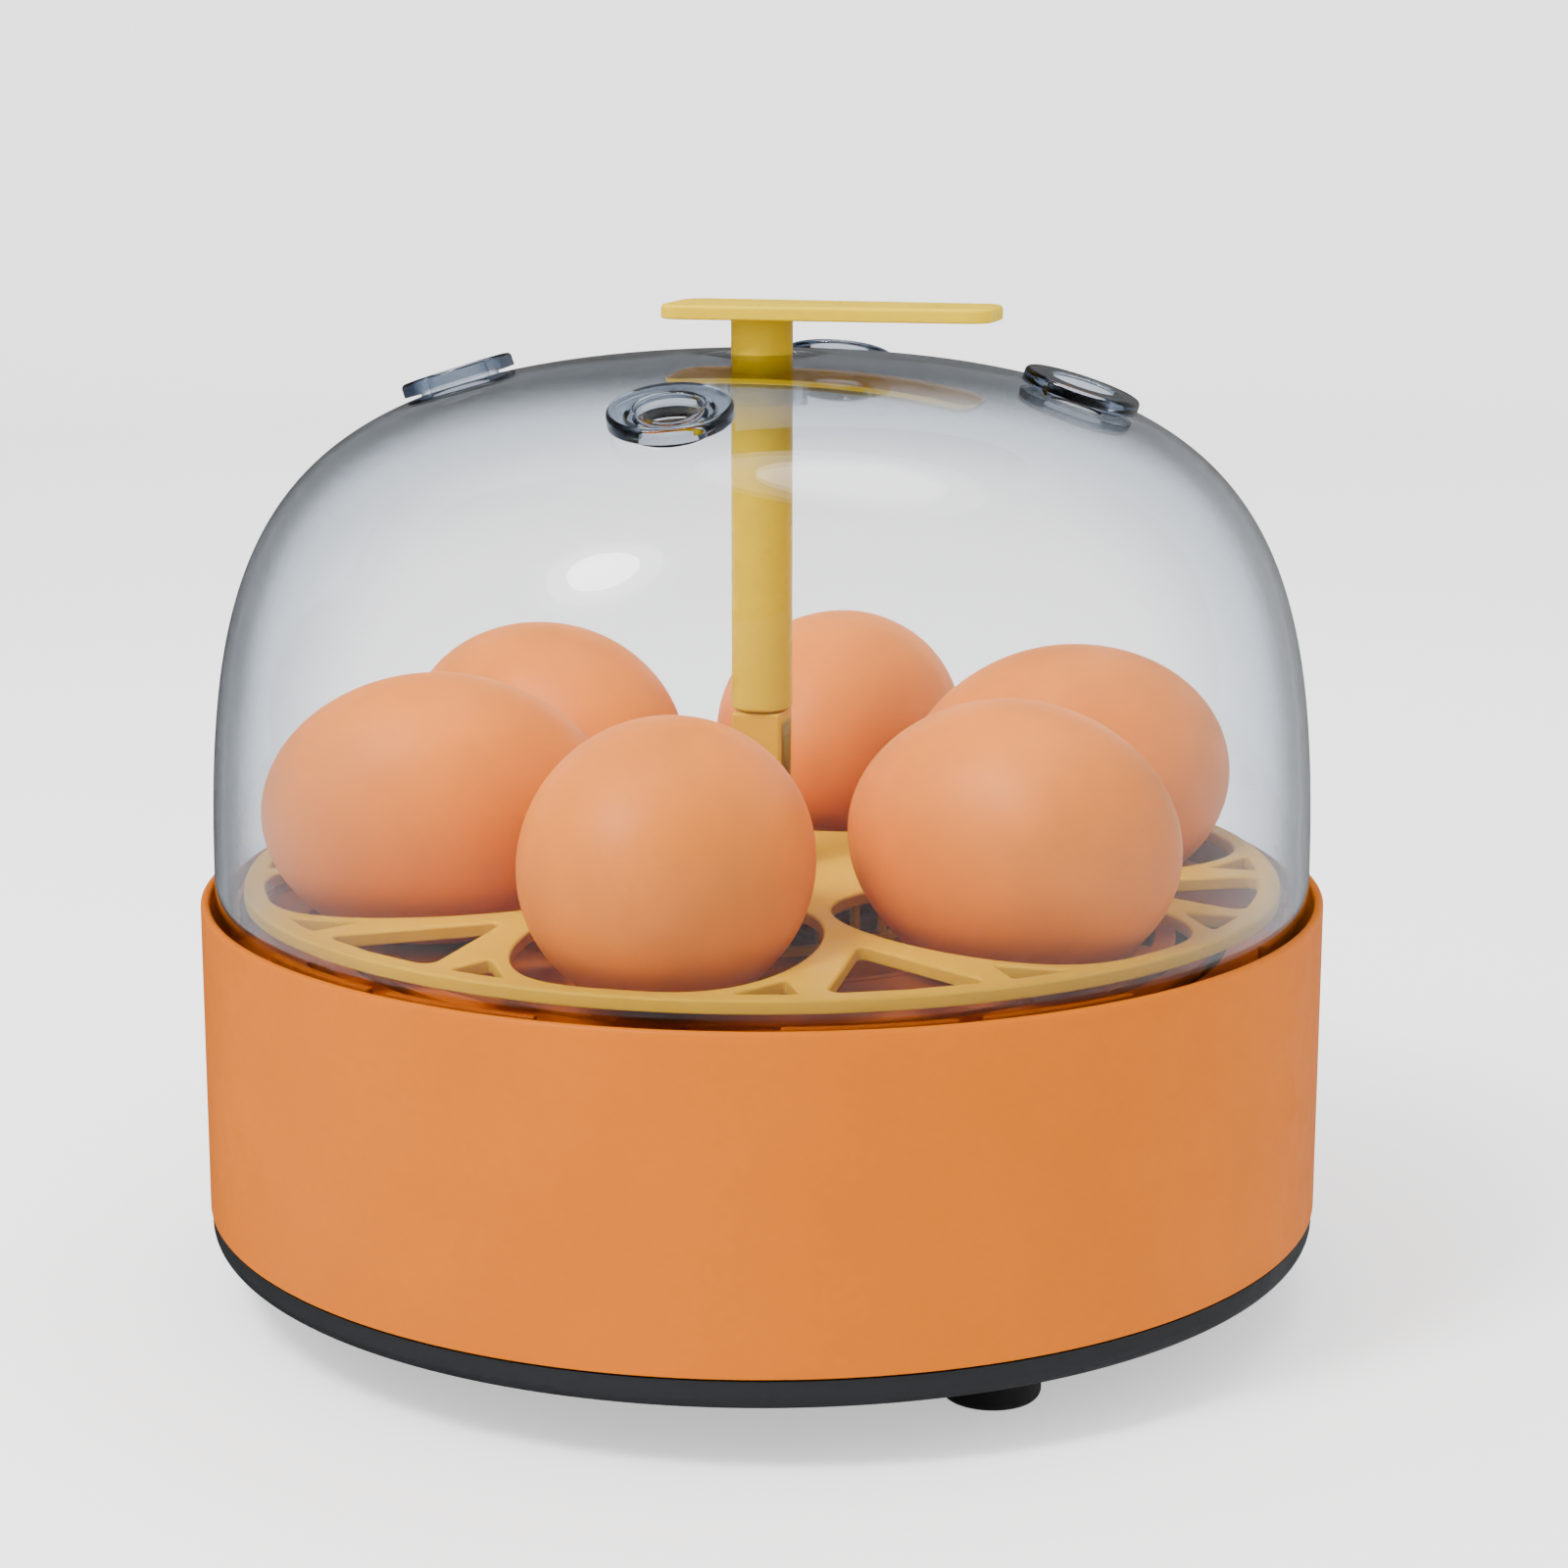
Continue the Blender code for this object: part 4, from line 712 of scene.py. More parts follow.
class INCUBATOR_OT_underside(INCUBATOR_OT_piece):
    """Makes the black cover with its screws and rubber feet"""

    bl_idname = "incubator.underside"
    bl_label = "Cover, Screws and Feet"

    def make(self, shape, colours):
        steps = shape.small_steps
        side = COVER_HIGH.x
        dish = 1.8 * MM
        lip_outer = RADIUS - shape.wall - GAP
        lip_inner = lip_outer - 1.4 * MM
        lip_top = SHELL_BOTTOM + 4 * MM
        black = moulded_plastic("black_plastic", colours.cover, 0.42)
        outline = [(0, COVER_BOTTOM), (side - 16 * MM, COVER_BOTTOM)]
        outline += bend(side, COVER_BOTTOM + dish, 2.7 * MM, -82, 10, 82)
        seam = SHELL_BOTTOM - GAP
        outline += [(side, seam), (lip_outer, seam), (lip_outer, lip_top)]
        outline += [(lip_inner, lip_top), (lip_inner, COVER_FLOOR + 2 * MM)]
        outline += [(lip_inner - 4 * MM, COVER_FLOOR), (0, COVER_FLOOR)]
        cover = turned("cover_body", outline, shape.round_steps, black)
        seat, seat_top = 3.05 * MM, COVER_BOTTOM + 1.7 * MM
        stepped = [(0, 0), (seat, 0), (seat, seat_top), (1.8 * MM, seat_top)]
        stepped += [(1.8 * MM, SHELL_BOTTOM), (0, SHELL_BOTTOM)]
        cutters = []
        for bearing in range(0, 360, 90):
            cutters.append(turned("hole", stepped, steps, black, spot(bearing, SCREW_CIRCLE)))
            hole = cylinder(3.3 * MM, 0, SHELL_BOTTOM)
            cutters.append(turned("hole", hole, steps, black, spot(bearing + 45, FOOT_CIRCLE)))
        carve(cover, cutters, black)
        mount(cover, "base", "black_cover", "bottom_cover")
        self.feet(shape, colours)
        self.screws(shape)

    def feet(self, shape, colours):
        black = rubber("black_rubber", colours.rubber)
        radius, top = 7.75 * MM, FOOT_TOP
        shoulder = 7.7 * MM
        outline = [(0, 0.4 * MM), (3.2 * MM, 0.4 * MM), (3.6 * MM, 0), (radius - 1.5 * MM, 0)]
        outline += bend(radius, 0, 1.5 * MM, -80, 8, 80)
        outline += bend(radius, shoulder, shape.soft_edge, 0)
        outline += [(3 * MM, shoulder), (3 * MM, top), (0, top)]
        foot = turned("rubber_feet", outline, shape.small_steps, black, spot(45, FOOT_CIRCLE))
        repeat(foot, 4, 0, black)
        mount(foot, "base", "black_rubber", *["foot_" + name for name in CORNERS])

    def screws(self, shape):
        zinc = metal("zinc_steel", srgb(182, 184, 188), 0.3)
        head, length, core = SCREW_HEAD, SCREW_LENGTH, 1.2 * MM
        outline = [(0, 0.25 * MM), (head - 0.9 * MM, 0)]
        outline += bend(head, 0, 0.5 * MM, -80, 5, 80)
        outline += [(head, 1.4 * MM), (1.5 * MM, 1.4 * MM)]
        for i in range(THREADS):
            level = 1.8 * MM + (length - 3.5 * MM) * i / THREADS
            outline += [(1.5 * MM, level), (core, level + 0.3 * MM)]
        outline += [(core, length - 1.5 * MM), (0, length)]
        screw = turned("cover_screws", outline, shape.small_steps, zinc)
        reach, half, depth = 1.7 * MM, 0.35 * MM, 1.0 * MM
        slots = [block("slot", (-reach, -half, -depth), (reach, half, depth), zinc),
                 block("slot", (-half, -reach, -depth), (half, reach, depth), zinc)]
        carve(screw, slots, zinc)
        moved(screw, spot(90, SCREW_CIRCLE, COVER_BOTTOM))
        repeat(screw, 4, 0, zinc)
        mount(screw, "base", "zinc_screw", *["cover_screw_" + name for name in QUARTERS])


def ring_slot(radius, width, start, end, steps=24):
    """A slot that follows a ring between two bearings, with round ends."""
    half = width / 2
    tip = math.degrees(half / radius)
    bearings = [start + tip + (end - start - 2 * tip) * i / steps for i in range(steps + 1)]
    outline = [around(radius + half, b) for b in bearings]
    for bearing, turn in ((bearings[-1], 0), (bearings[0], 180)):
        centre = around(radius, bearing)
        heading = bearing - 90 + turn
        outline += arc(centre, half, heading, heading + 180, 6)[1:-1]
        if turn == 0:
            outline += [around(radius - half, b) for b in reversed(bearings)]
    return outline


def ring_sector(inner, outer, start, end, corner, steps=10):
    """A piece of a ring between two bearings, with rounded corners."""
    bearings = [start + (end - start) * i / steps for i in range(steps + 1)]
    far = [(*around(outer, b), 0) for b in bearings]
    near = [(*around(inner, b), 0) for b in reversed(bearings)]
    corners = [far[0][:2] + (corner,), *far[1:-1], far[-1][:2] + (corner,)]
    corners += [near[0][:2] + (corner,), *near[1:-1], near[-1][:2] + (corner,)]
    return rounded(corners, 4)


class INCUBATOR_OT_deck(INCUBATOR_OT_piece):
    """Makes the slotted deck with its water channel, grille, spigot and centring pieces"""

    bl_idname = "incubator.deck"
    bl_label = "Deck"

    def make(self, shape, colours):
        orange = moulded_plastic("deck_plastic", colours.deck, 0.48)
        edge = shape.soft_edge
        channel_in, channel_out = CHANNEL
        outer, wall = DECK_RADIUS, 2 * MM
        loops = [circle(outer, shape.round_steps), circle(channel_out + wall, shape.round_steps)]
        for index in range(EGG_COUNT):
            middle = (index + 0.5) * EGG_STEP
            for radius in (64, 70, 76):
                loops.append(ring_slot(radius * MM, 2.4 * MM, middle - 25, middle + 25))
        loops.append(circle(2.1 * MM, 32, around(81.5 * MM, 210)))
        floor = plate("floor", loops, DECK_BOTTOM, DECK_TOP, orange, edge, edge)
        loops = [circle(channel_in - wall, shape.round_steps)]
        for index in range(10):
            slot = rectangle(7.5 * MM, 19.5 * MM, -1.5 * MM, 1.5 * MM, 1.49 * MM)
            loops.append(turned_to(slot, 90 + index * 36))
        grille = plate("grille", loops, DECK_BOTTOM, DECK_TOP, orange, edge, edge)
        low = DECK_TOP - CHANNEL_DEPTH
        outline = [(channel_in - wall, DECK_BOTTOM), (channel_in - wall, low - wall)]
        outline += [(channel_out + wall, low - wall), (channel_out + wall, DECK_TOP)]
        outline += bend(channel_out, DECK_TOP, edge, 90, 3, 80)
        outline += bend(channel_out - MM, low, MM, -10, 5, -80)
        outline += bend(channel_in + MM, low, MM, 270, 5, -80)
        outline += bend(channel_in, DECK_TOP, edge, 10, 3, 80)
        outline += [(channel_in - wall, DECK_TOP)]
        channel = turned("channel", outline, shape.round_steps, orange)
        radius, spigot_top = SPIGOT[0], DECK_TOP + SPIGOT[1]
        outline = [(0, DECK_TOP - MM), (radius, DECK_TOP - MM), (radius, spigot_top - MM)]
        outline += [(radius - MM, spigot_top), (0, spigot_top)]
        spigot = turned("spigot", outline, shape.small_steps, orange)
        boss = 4.5 * MM
        hole, hole_top, foot = 1.8 * MM, 24 * MM, COVER_FLOOR + GAP
        outline = [(hole, foot), (boss, foot), (boss, DECK_BOTTOM + MM)]
        outline += [(0, DECK_BOTTOM + MM), (0, hole_top), (hole, hole_top)]
        bosses = turned("bosses", outline, shape.small_steps, orange, spot(90, SCREW_CIRCLE))
        repeat(bosses, 4, 0, orange)
        low, high = DECK_TOP - 0.5 * MM, DECK_TOP + 6.4 * MM
        reach, split, pair = 17, 1.25, []
        for start in (35 - split - reach, 35 + split):
            sector = ring_sector(RIM_RADIUS - 1.4 * MM, RIM_RADIUS, start, start + reach, 0.4 * MM)
            pair.append(plate("rim", [sector], low, high, orange, 0.35 * MM))
        rims = repeat(join("rims", pair, orange), EGG_COUNT, 0, orange)
        deck = join("deck_body", [floor, grille, channel, spigot, bosses, rims], orange)
        mount(deck, "base", "orange_deck", "deck")


# Lid ----------------------------------------------------------------------------------------
DOME_ROWS = 96
COLLAR_HEIGHT = 6 * MM
VENT_CIRCLE = 51.8 * MM
VENT_HOLE = 5.15 * MM
VENT_NECK = 6.7 * MM


def dome_curve():
    """The control points of the dome's outside, from its plain wall to its crown."""
    start = SHELL_TOP + 3.6 * MM
    steep = start + 0.691 * (DOME_HIGH.z - start)
    radius = DOME_HIGH.x
    return [(radius, start), (radius, steep), (radius * 0.89, DOME_HIGH.z), (0, DOME_HIGH.z)]


def on_dome(bearing):
    """A matrix that lays +Z along the dome's outside at the vent circle."""
    low, high = 0.0, 1.0
    while high - low > 1e-9:
        middle = (low + high) / 2
        outside = bezier(dome_curve(), middle)[0].x > VENT_CIRCLE
        low, high = (middle, high) if outside else (low, middle)
    point, along = bezier(dome_curve(), low)
    normal = Vector((*around(along.y, bearing), -along.x))
    return spot(bearing, point.x, point.y) @ normal.to_track_quat("Z", "Y").to_matrix().to_4x4()


class INCUBATOR_OT_lid(INCUBATOR_OT_piece):
    """Makes the clear dome and its four vent rings"""

    bl_idname = "incubator.lid"
    bl_label = "Dome and Vents"

    def make(self, shape, colours):
        clear = clear_plastic("dome_plastic", colours.dome, 90.0, 0.012)
        wall, edge = shape.dome_wall, 0.5 * MM
        bottom, top, radius = DOME_LOW.z, DOME_HIGH.z, DOME_HIGH.x
        hole, collar = 5.4 * MM, 7.4 * MM
        curve = dome_curve()
        outside, inside = [], []
        for i in range(DOME_ROWS + 1):
            point, along = bezier(curve, i / DOME_ROWS)
            inner = point - Vector((along.y, -along.x)) * wall
            if point.x > hole + edge:
                outside.append(tuple(point))
            if inner.x > collar + MM:
                inside.append(tuple(inner))
        outline = bend(radius - wall, bottom, edge, 180, 5)
        outline += bend(radius, bottom, edge, -90, 5)
        outline += outside + bend(hole, top, edge, 90, 5)
        collar_low = top - wall - COLLAR_HEIGHT
        outline += [(hole, collar_low), (collar, collar_low)]
        outline += bend(collar, top - wall, MM, 180, 5, -90) + inside[::-1]
        dome = turned("dome_body", outline, shape.round_steps, clear)
        bore = cylinder(VENT_NECK + GAP, -6 * MM, 6 * MM)
        cutters = [turned("vent_cutter", bore, shape.small_steps, clear, on_dome(bearing))
                   for bearing in range(0, 360, 90)]
        carve(dome, cutters, clear)
        mount(dome, "lid", "clear_dome", "dome")
        frosted = clear_plastic("vent_plastic", colours.dome, 400.0, 0.02)
        outer, low, high = 9.5 * MM, -wall - 2 * GAP, 2.5 * MM
        outline = [(VENT_HOLE, low + edge), (VENT_HOLE + edge, low), (VENT_NECK - GAP, low)]
        outline += [(VENT_NECK, low + GAP), (VENT_NECK, GAP), (outer, GAP)]
        outline += bend(outer, high, 0.7 * MM, 0, 6)
        outline += bend(VENT_HOLE, high, edge, 90, 5)
        ring = turned("vent_rings", outline, shape.small_steps, frosted, on_dome(90))
        repeat(ring, 4, 0, frosted)
        mount(ring, "lid", "clear_vents", *["vent_ring_" + name for name in QUARTERS])


POST_RADIUS = 5 * MM
POST_BOTTOM = 95.8 * MM


class INCUBATOR_OT_handle(INCUBATOR_OT_piece):
    """Makes the turning handle: paddle, round post and square tongue"""

    bl_idname = "incubator.handle"
    bl_label = "Handle"

    def make(self, shape, colours):
        yellow = moulded_plastic("handle_plastic", colours.handle, 0.3, soft=0.08)
        top = HANDLE_HIGH.z
        bottom = top - 2.3 * MM
        half, tip, corner = 9.5 * MM, 7.5 * MM, 4 * MM
        outline = rounded([(HANDLE_LOW.x, -half, corner), (HANDLE_HIGH.x, -tip, corner),
                           (HANDLE_HIGH.x, tip, corner), (HANDLE_LOW.x, half, corner)], 10)
        paddle = plate("paddle", [outline], bottom, top, yellow, 0.6 * MM, 0.3 * MM, 5)
        radius, low = POST_RADIUS, POST_BOTTOM
        post = [(0, low), (radius - 0.4 * MM, low), (radius, low + 0.4 * MM)]
        post += bend(radius, bottom, 0.8 * MM, 180, 5, -90)
        post += [(radius + 0.8 * MM, bottom + 0.5 * MM), (0, bottom + 0.5 * MM)]
        reach = 2.75 * MM
        tongue = block("tongue", (-reach, -reach, HANDLE_LOW.z), (reach, reach, low + MM),
                       yellow, 0.4 * MM)
        post = turned("post", post, shape.small_steps, yellow)
        handle = join("handle_body", [paddle, post, tongue], yellow)
        mount(handle, "handle", "yellow_handle", "handle")


# Tray and eggs ------------------------------------------------------------------------------
RING_INNER = 82 * MM
RING_TOP, RING_BOTTOM = 69.6 * MM, 67.4 * MM
HUB, HUB_BORE = 7 * MM, 4.4 * MM
CAGE = (24.0 * MM, 25.2 * MM)
CAGE_BARS = 24
EGG_CIRCLE = 54.5 * MM
EGG_BLUNT, EGG_NARROW = 28 * MM, 29 * MM
EGG_RINGS = 48
EGG_SIDES = 96


def cell_outline(steps=96):
    """An egg-shaped opening along +X."""
    middle, half, width = 54 * MM, 28 * MM, 22.4 * MM
    outline = []
    for i in range(steps):
        angle = math.tau * i / steps
        side = math.copysign(abs(math.sin(angle)) ** 0.65, math.sin(angle))
        outline.append((middle + half * math.cos(angle), width * side))
    return outline


def polar(radius, angle):
    return radius * math.cos(math.radians(angle)), radius * math.sin(math.radians(angle))


def leaf_outline():
    """A rounded triangle along +X with its point towards the hub."""
    spread, soft = 8.6, 1.8 * MM
    corners = [(56.3 * MM, 0, 0.9 * MM), (*polar(RING_INNER, -spread), soft), (RING_INNER, 0, 0)]
    return rounded([*corners, (*polar(RING_INNER, spread), soft)])


def gusset_outline(side):
    """A small triangle beside a leaf, along +X."""
    points = ((74 * MM, 12.3, 0.5 * MM), (RING_INNER, 11.3, 0.5 * MM), (RING_INNER, 14.7, 0),
              (RING_INNER, 18.1, 0.4 * MM))
    return rounded([(*polar(radius, angle * side), soft) for radius, angle, soft in points], 4)


class INCUBATOR_OT_tray(INCUBATOR_OT_piece):
    """Makes the turning tray with its egg cells, hub, cage and socket column"""

    bl_idname = "incubator.tray"
    bl_label = "Turning Tray"

    def make(self, shape, colours):
        yellow = moulded_plastic("tray_plastic", colours.tray, 0.38, soft=0.08)
        top, bottom, foot = RING_TOP, RING_BOTTOM, TRAY_LOW.z
        loops = [circle(TRAY_HIGH.x, shape.round_steps)]
        for index in range(EGG_COUNT):
            bearing = index * EGG_STEP
            between = bearing + EGG_STEP / 2
            loops.append(turned_to(cell_outline(), bearing))
            loops.append(turned_to(leaf_outline(), between))
            loops += [turned_to(gusset_outline(side), between) for side in (-1, 1)]
        ring = plate("ring", loops, bottom, top, yellow, 0.5 * MM, 0.3 * MM)
        hub_top, bore_top = top + 2.8 * MM, 66.8 * MM
        outline = [(HUB_BORE, foot), (HUB, foot), *bend(HUB, hub_top, MM, 0, 6)]
        outline += [(0, hub_top), (0, bore_top), (HUB_BORE, bore_top)]
        boss = turned("boss", outline, shape.small_steps, yellow)
        (inner, outer), half, high = CAGE, 0.6 * MM, foot + 1.5 * MM
        outline = [(inner, foot), (outer, foot), (outer, high), (inner, high)]
        hoop = turned("hoop", outline, shape.round_steps, yellow)
        low, high = (inner, -half, foot + MM), (outer, half, bottom + MM)
        first = 180 / CAGE_BARS
        bars = repeat(block("bar", low, high, yellow, 0.15 * MM), CAGE_BARS, first, yellow)
        side, cavity, socket_top = 4.1 * MM, 3.1 * MM, TRAY_HIGH.z
        column = block("column", (-side, -side, top), (side, side, socket_top), yellow, 0.5 * MM)
        low = HANDLE_LOW.z - 2 * MM
        half, window_top = cavity - 0.4 * MM, 93.4 * MM
        hollow = block("hollow", (-cavity, -cavity, low), (cavity, cavity, socket_top + 5 * MM),
                       yellow, 0.3 * MM)
        window = block("window", (-2 * side, -half, low + 2 * MM), (2 * side, half, window_top),
                       yellow, 0.5 * MM)
        carve(column, [hollow, window], yellow)
        tray = join("tray_body", [ring, boss, hoop, bars, column], yellow)
        mount(tray, "tray", "yellow_tray", "turning_tray")


class INCUBATOR_OT_eggs(INCUBATOR_OT_piece):
    """Makes the six brown eggs"""

    bl_idname = "incubator.eggs"
    bl_label = "Eggs"

    def make(self, shape, colours):
        radius = (EGG_HIGH.z - EGG_LOW.z) / 2
        outline = []
        for i in range(EGG_RINGS + 1):
            angle = math.pi * i / EGG_RINGS
            along = -math.cos(angle)
            taper, reach = (1 - 0.1 * along * along, EGG_NARROW) if along < 0 else (1, EGG_BLUNT)
            width = radius * math.sin(angle) * taper if 0 < i < EGG_RINGS else 0
            outline.append((width, along * reach))
        level = (EGG_HIGH.z + EGG_LOW.z) / 2
        for index in range(EGG_COUNT):
            name = "egg_%d" % (index + 1)
            shell = eggshell(tone(colours.egg, 0.96 + 0.03 * (index * 5 % 4)), index + 1)
            place = radial(index * EGG_STEP, EGG_CIRCLE, level)
            egg = turned("shell_of_" + name, outline, EGG_SIDES, shell, place)
            mount(egg, name, "eggshell", name)


# Rear controls ------------------------------------------------------------------------------
class INCUBATOR_OT_controls(INCUBATOR_OT_piece):
    """Makes the rear panel, its window and buttons, and the power inlet"""

    bl_idname = "incubator.controls"
    bl_label = "Rear Controls"

    def make(self, shape, colours):
        black = moulded_plastic("panel_plastic", srgb(56, 57, 60), 0.4)
        low, high = PANEL_LOW, PANEL_HIGH
        outline = rectangle(low.x, high.x, low.z, high.z, 2 * MM)
        middle = (low.z + high.z) / 2
        half, level, tall = 12 * MM, middle + 5.5 * MM, 4.5 * MM
        apart, row, cap = 8 * MM, middle - 6 * MM, 2.5 * MM
        holes = [rectangle(-half, half, level - tall, level + tall, 0.8 * MM)]
        holes += [circle(cap + GAP, 48, (side * apart, row)) for side in (-1, 1)]
        stand = Matrix.Rotation(math.radians(90), 4, "X")
        face = plate("panel_face", [outline, *holes], -high.y, -low.y, black, 0.2 * MM, 0.6 * MM)
        mount(moved(face, stand), "base", "panel_plastic", "control_panel")
        smoked = Finish("window_lens", IOR=PLASTIC_IOR)
        cloud = smoked.noise(6 * MM, 3.0)
        tint = smoked.blend(cloud, srgb(14, 14, 17), srgb(24, 24, 28))
        glass = smoked.wire(Base_Color=tint, Roughness=smoked.ramp(cloud, 0.04, 0.1))
        box_low, box_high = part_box("display_window")
        lens = block("lens", box_low, box_high, glass, 0.25 * MM)
        mount(lens, "base", "window_lens", "display_window")
        pale = moulded_plastic("button_plastic", srgb(226, 226, 222), 0.42)
        for name, body in (("button_up", "up_button"), ("button_down", "down_button")):
            box_low, box_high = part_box(name)
            length, flange = box_high.y - box_low.y, (box_high.x - box_low.x) / 2
            outline = [(0, 0), (flange, 0), (flange, MM), (cap, MM)]
            outline += bend(cap, length, 0.4 * MM, 0, 5, 80)
            outline += [(cap / 2, length - 0.1 * MM), (0, length - 0.25 * MM)]
            turn = Vector((0, 1, 0)).to_track_quat("Z", "Y").to_matrix().to_4x4()
            place = Matrix.Translation(((box_low.x + box_high.x) / 2, box_low.y, row))
            knob = turned(name + "_cap", outline, shape.small_steps, pale, place @ turn)
            mount(knob, body, "button_plastic", name)
        dark = moulded_plastic("jack_plastic", srgb(34, 34, 36), 0.38)
        tip = math.sqrt(RADIUS ** 2 - JACK_RADIUS ** 2) - 0.1 * MM
        back, bore = tip - 12 * MM, 3 * MM
        outline = [(0, back), (JACK_RADIUS, back), *bend(JACK_RADIUS, tip, GAP, 0)]
        outline += bend(bore, tip, GAP, 90)
        outline += [(bore, back + 3 * MM), (MM, back + 3 * MM), (MM, tip - 1.5 * MM), (0, tip - MM)]
        place = radial(JACK_BEARING, 0, JACK_LEVEL)
        jack = turned("jack_body", outline, shape.small_steps, dark, place)
        mount(jack, "base", "jack_plastic", "power_jack")


# Inside the base ----------------------------------------------------------------------------
FAN_BORE = 23 * MM
FAN_HUB = 10 * MM
FAN_SCREWS = 20.5 * MM
BLADES = 7
BLADE_RINGS, BLADE_STEPS = 10, 8
COIL_RADIUS = 21 * MM
COIL_TURNS = 80
WIRE_RADIUS = 0.25 * MM
BOARD_THICKNESS = 1.6 * MM
BOARD_BLOCKS = (((-4, -10), (10, 0), 8), ((4, 5), (14, 12), 1.6), ((-20, -12), (-12, -2), 5))


class INCUBATOR_OT_fan(INCUBATOR_OT_piece):
    """Makes the fan, the heating coil and the sensor"""

    bl_idname = "incubator.fan"
    bl_label = "Fan, Heater and Sensor"

    def make(self, shape, colours):
        steps = shape.small_steps
        low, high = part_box("fan_plate")
        aluminium = metal("plate_aluminium", srgb(200, 202, 205), 0.38, (1.0, 12.0, 1.0))
        sheet = plate("plate_body", [circle(high.x, shape.round_steps), circle(FAN_BORE, steps)],
                      low.z, high.z, aluminium, 0.2 * MM, 0.2 * MM)
        mount(sheet, "base", "plate_aluminium", "fan_plate")
        low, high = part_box("fan_frame")
        grey = moulded_plastic("fan_plastic", srgb(44, 45, 48), 0.48)
        outline = rectangle(low.x, high.x, low.y, high.y, 4 * MM)
        loops = [outline, circle(FAN_BORE, steps)]
        corners = [(i * FAN_SCREWS, j * FAN_SCREWS) for i in (-1, 1) for j in (-1, 1)]
        loops += [circle(2 * MM, 32, centre) for centre in corners]
        frame_pieces = [plate("frame", loops, low.z, high.z, grey, 0.4 * MM, 0.4 * MM)]
        bottom = low.z
        motor = cylinder(FAN_HUB, bottom, bottom + 2 * MM)
        frame_pieces.append(turned("motor", motor, steps, grey))
        half = 1.5 * MM
        arm = block("arms", (FAN_HUB - MM, -half, bottom),
                    (FAN_BORE + 0.5 * MM, half, bottom + 1.6 * MM), grey, 0.2 * MM)
        frame_pieces.append(repeat(arm, 4, 45, grey))
        mount(join("fan_body", frame_pieces, grey), "base", "fan_plastic", "fan_frame")
        self.impeller(steps)
        self.heater(steps)
        low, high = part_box("temperature_sensor")
        steel = metal("sensor_steel", srgb(200, 202, 206), 0.22)
        radius = (high.x - low.x) / 2
        tip = bend(radius, high.z, radius, 0, 10)[:-1]
        outline = [(0, low.z), (radius, low.z), *tip, (0, high.z)]
        place = Matrix.Translation(((low.x + high.x) / 2, (low.y + high.y) / 2, 0))
        sensor = turned("sensor_body", outline, steps, steel, place)
        mount(sensor, "base", "sensor_steel", "temperature_sensor")

    def impeller(self, steps):
        dark = moulded_plastic("impeller_plastic", srgb(60, 62, 66), 0.42)
        low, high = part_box("fan_impeller")
        outline = [(0, low.z), (FAN_HUB, low.z), *bend(FAN_HUB, high.z, MM, 0, 6), (0, high.z)]
        core = turned("core", outline, steps, dark)
        data = bmesh.new()
        rows, middle, half = [], (low.z + high.z) / 2, 0.35 * MM
        for i in range(BLADE_RINGS + 1):
            share = i / BLADE_RINGS
            reach = (9 + 12.2 * share) * MM
            lean = math.radians(42 - 14 * share)
            chord = (2.6 + 1.4 * share) * MM
            upper, lower = [], []
            for j in range(BLADE_STEPS + 1):
                s = 2 * j / BLADE_STEPS - 1
                camber = 0.5 * MM * (1 - s * s)
                y = s * chord * math.cos(lean) - camber * math.sin(lean)
                z = s * chord * math.sin(lean) + camber * math.cos(lean)
                upper.append(data.verts.new((reach, y, middle + z + half)))
                lower.append(data.verts.new((reach, y, middle + z - half)))
            rows.append(upper + lower[::-1])
        for near, far in zip(rows, rows[1:]):
            for j in range(len(near)):
                k = (j + 1) % len(near)
                data.faces.new((near[j], near[k], far[k], far[j]))
        data.faces.new(rows[0])
        data.faces.new(rows[-1])
        bmesh.ops.recalc_face_normals(data, faces=data.faces)
        blades = repeat(add_piece("blades", data), BLADES, 0, dark)
        impeller = join("impeller_body", [core, blades], dark)
        mount(impeller, "fan", "impeller_plastic", "fan_impeller")

    def heater(self, steps):
        low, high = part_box("heater_ring")
        middle, tube = (low.z + high.z) / 2, (high.z - low.z) / 2
        steel = metal("heater_steel", srgb(160, 150, 142), 0.34)
        coil = grow(add_piece("coil", bmesh.new()), coil_tree, steel, Ring_Radius=COIL_RADIUS,
                    Height=middle, Winding_Radius=tube - GAP, Wire_Radius=WIRE_RADIUS,
                    Turns=COIL_TURNS)
        mount(coil, "base", "heater_steel", "heater_ring")
        mica = moulded_plastic("mica_board", srgb(178, 152, 114), 0.65, 1.4 * MM, 0.05 * MM)
        low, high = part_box("heater_bracket")
        length, half, bars = 30 * MM, 0.6 * MM, []
        for turn in (45, 135):
            bar = block("bar", (-length, -half, low.z), (length, half, high.z), mica, 0.1 * MM)
            bars.append(moved(bar, Matrix.Rotation(math.radians(turn), 4, "Z")))
        mount(join("bracket_body", bars, mica), "base", "mica_board", "heater_bracket")


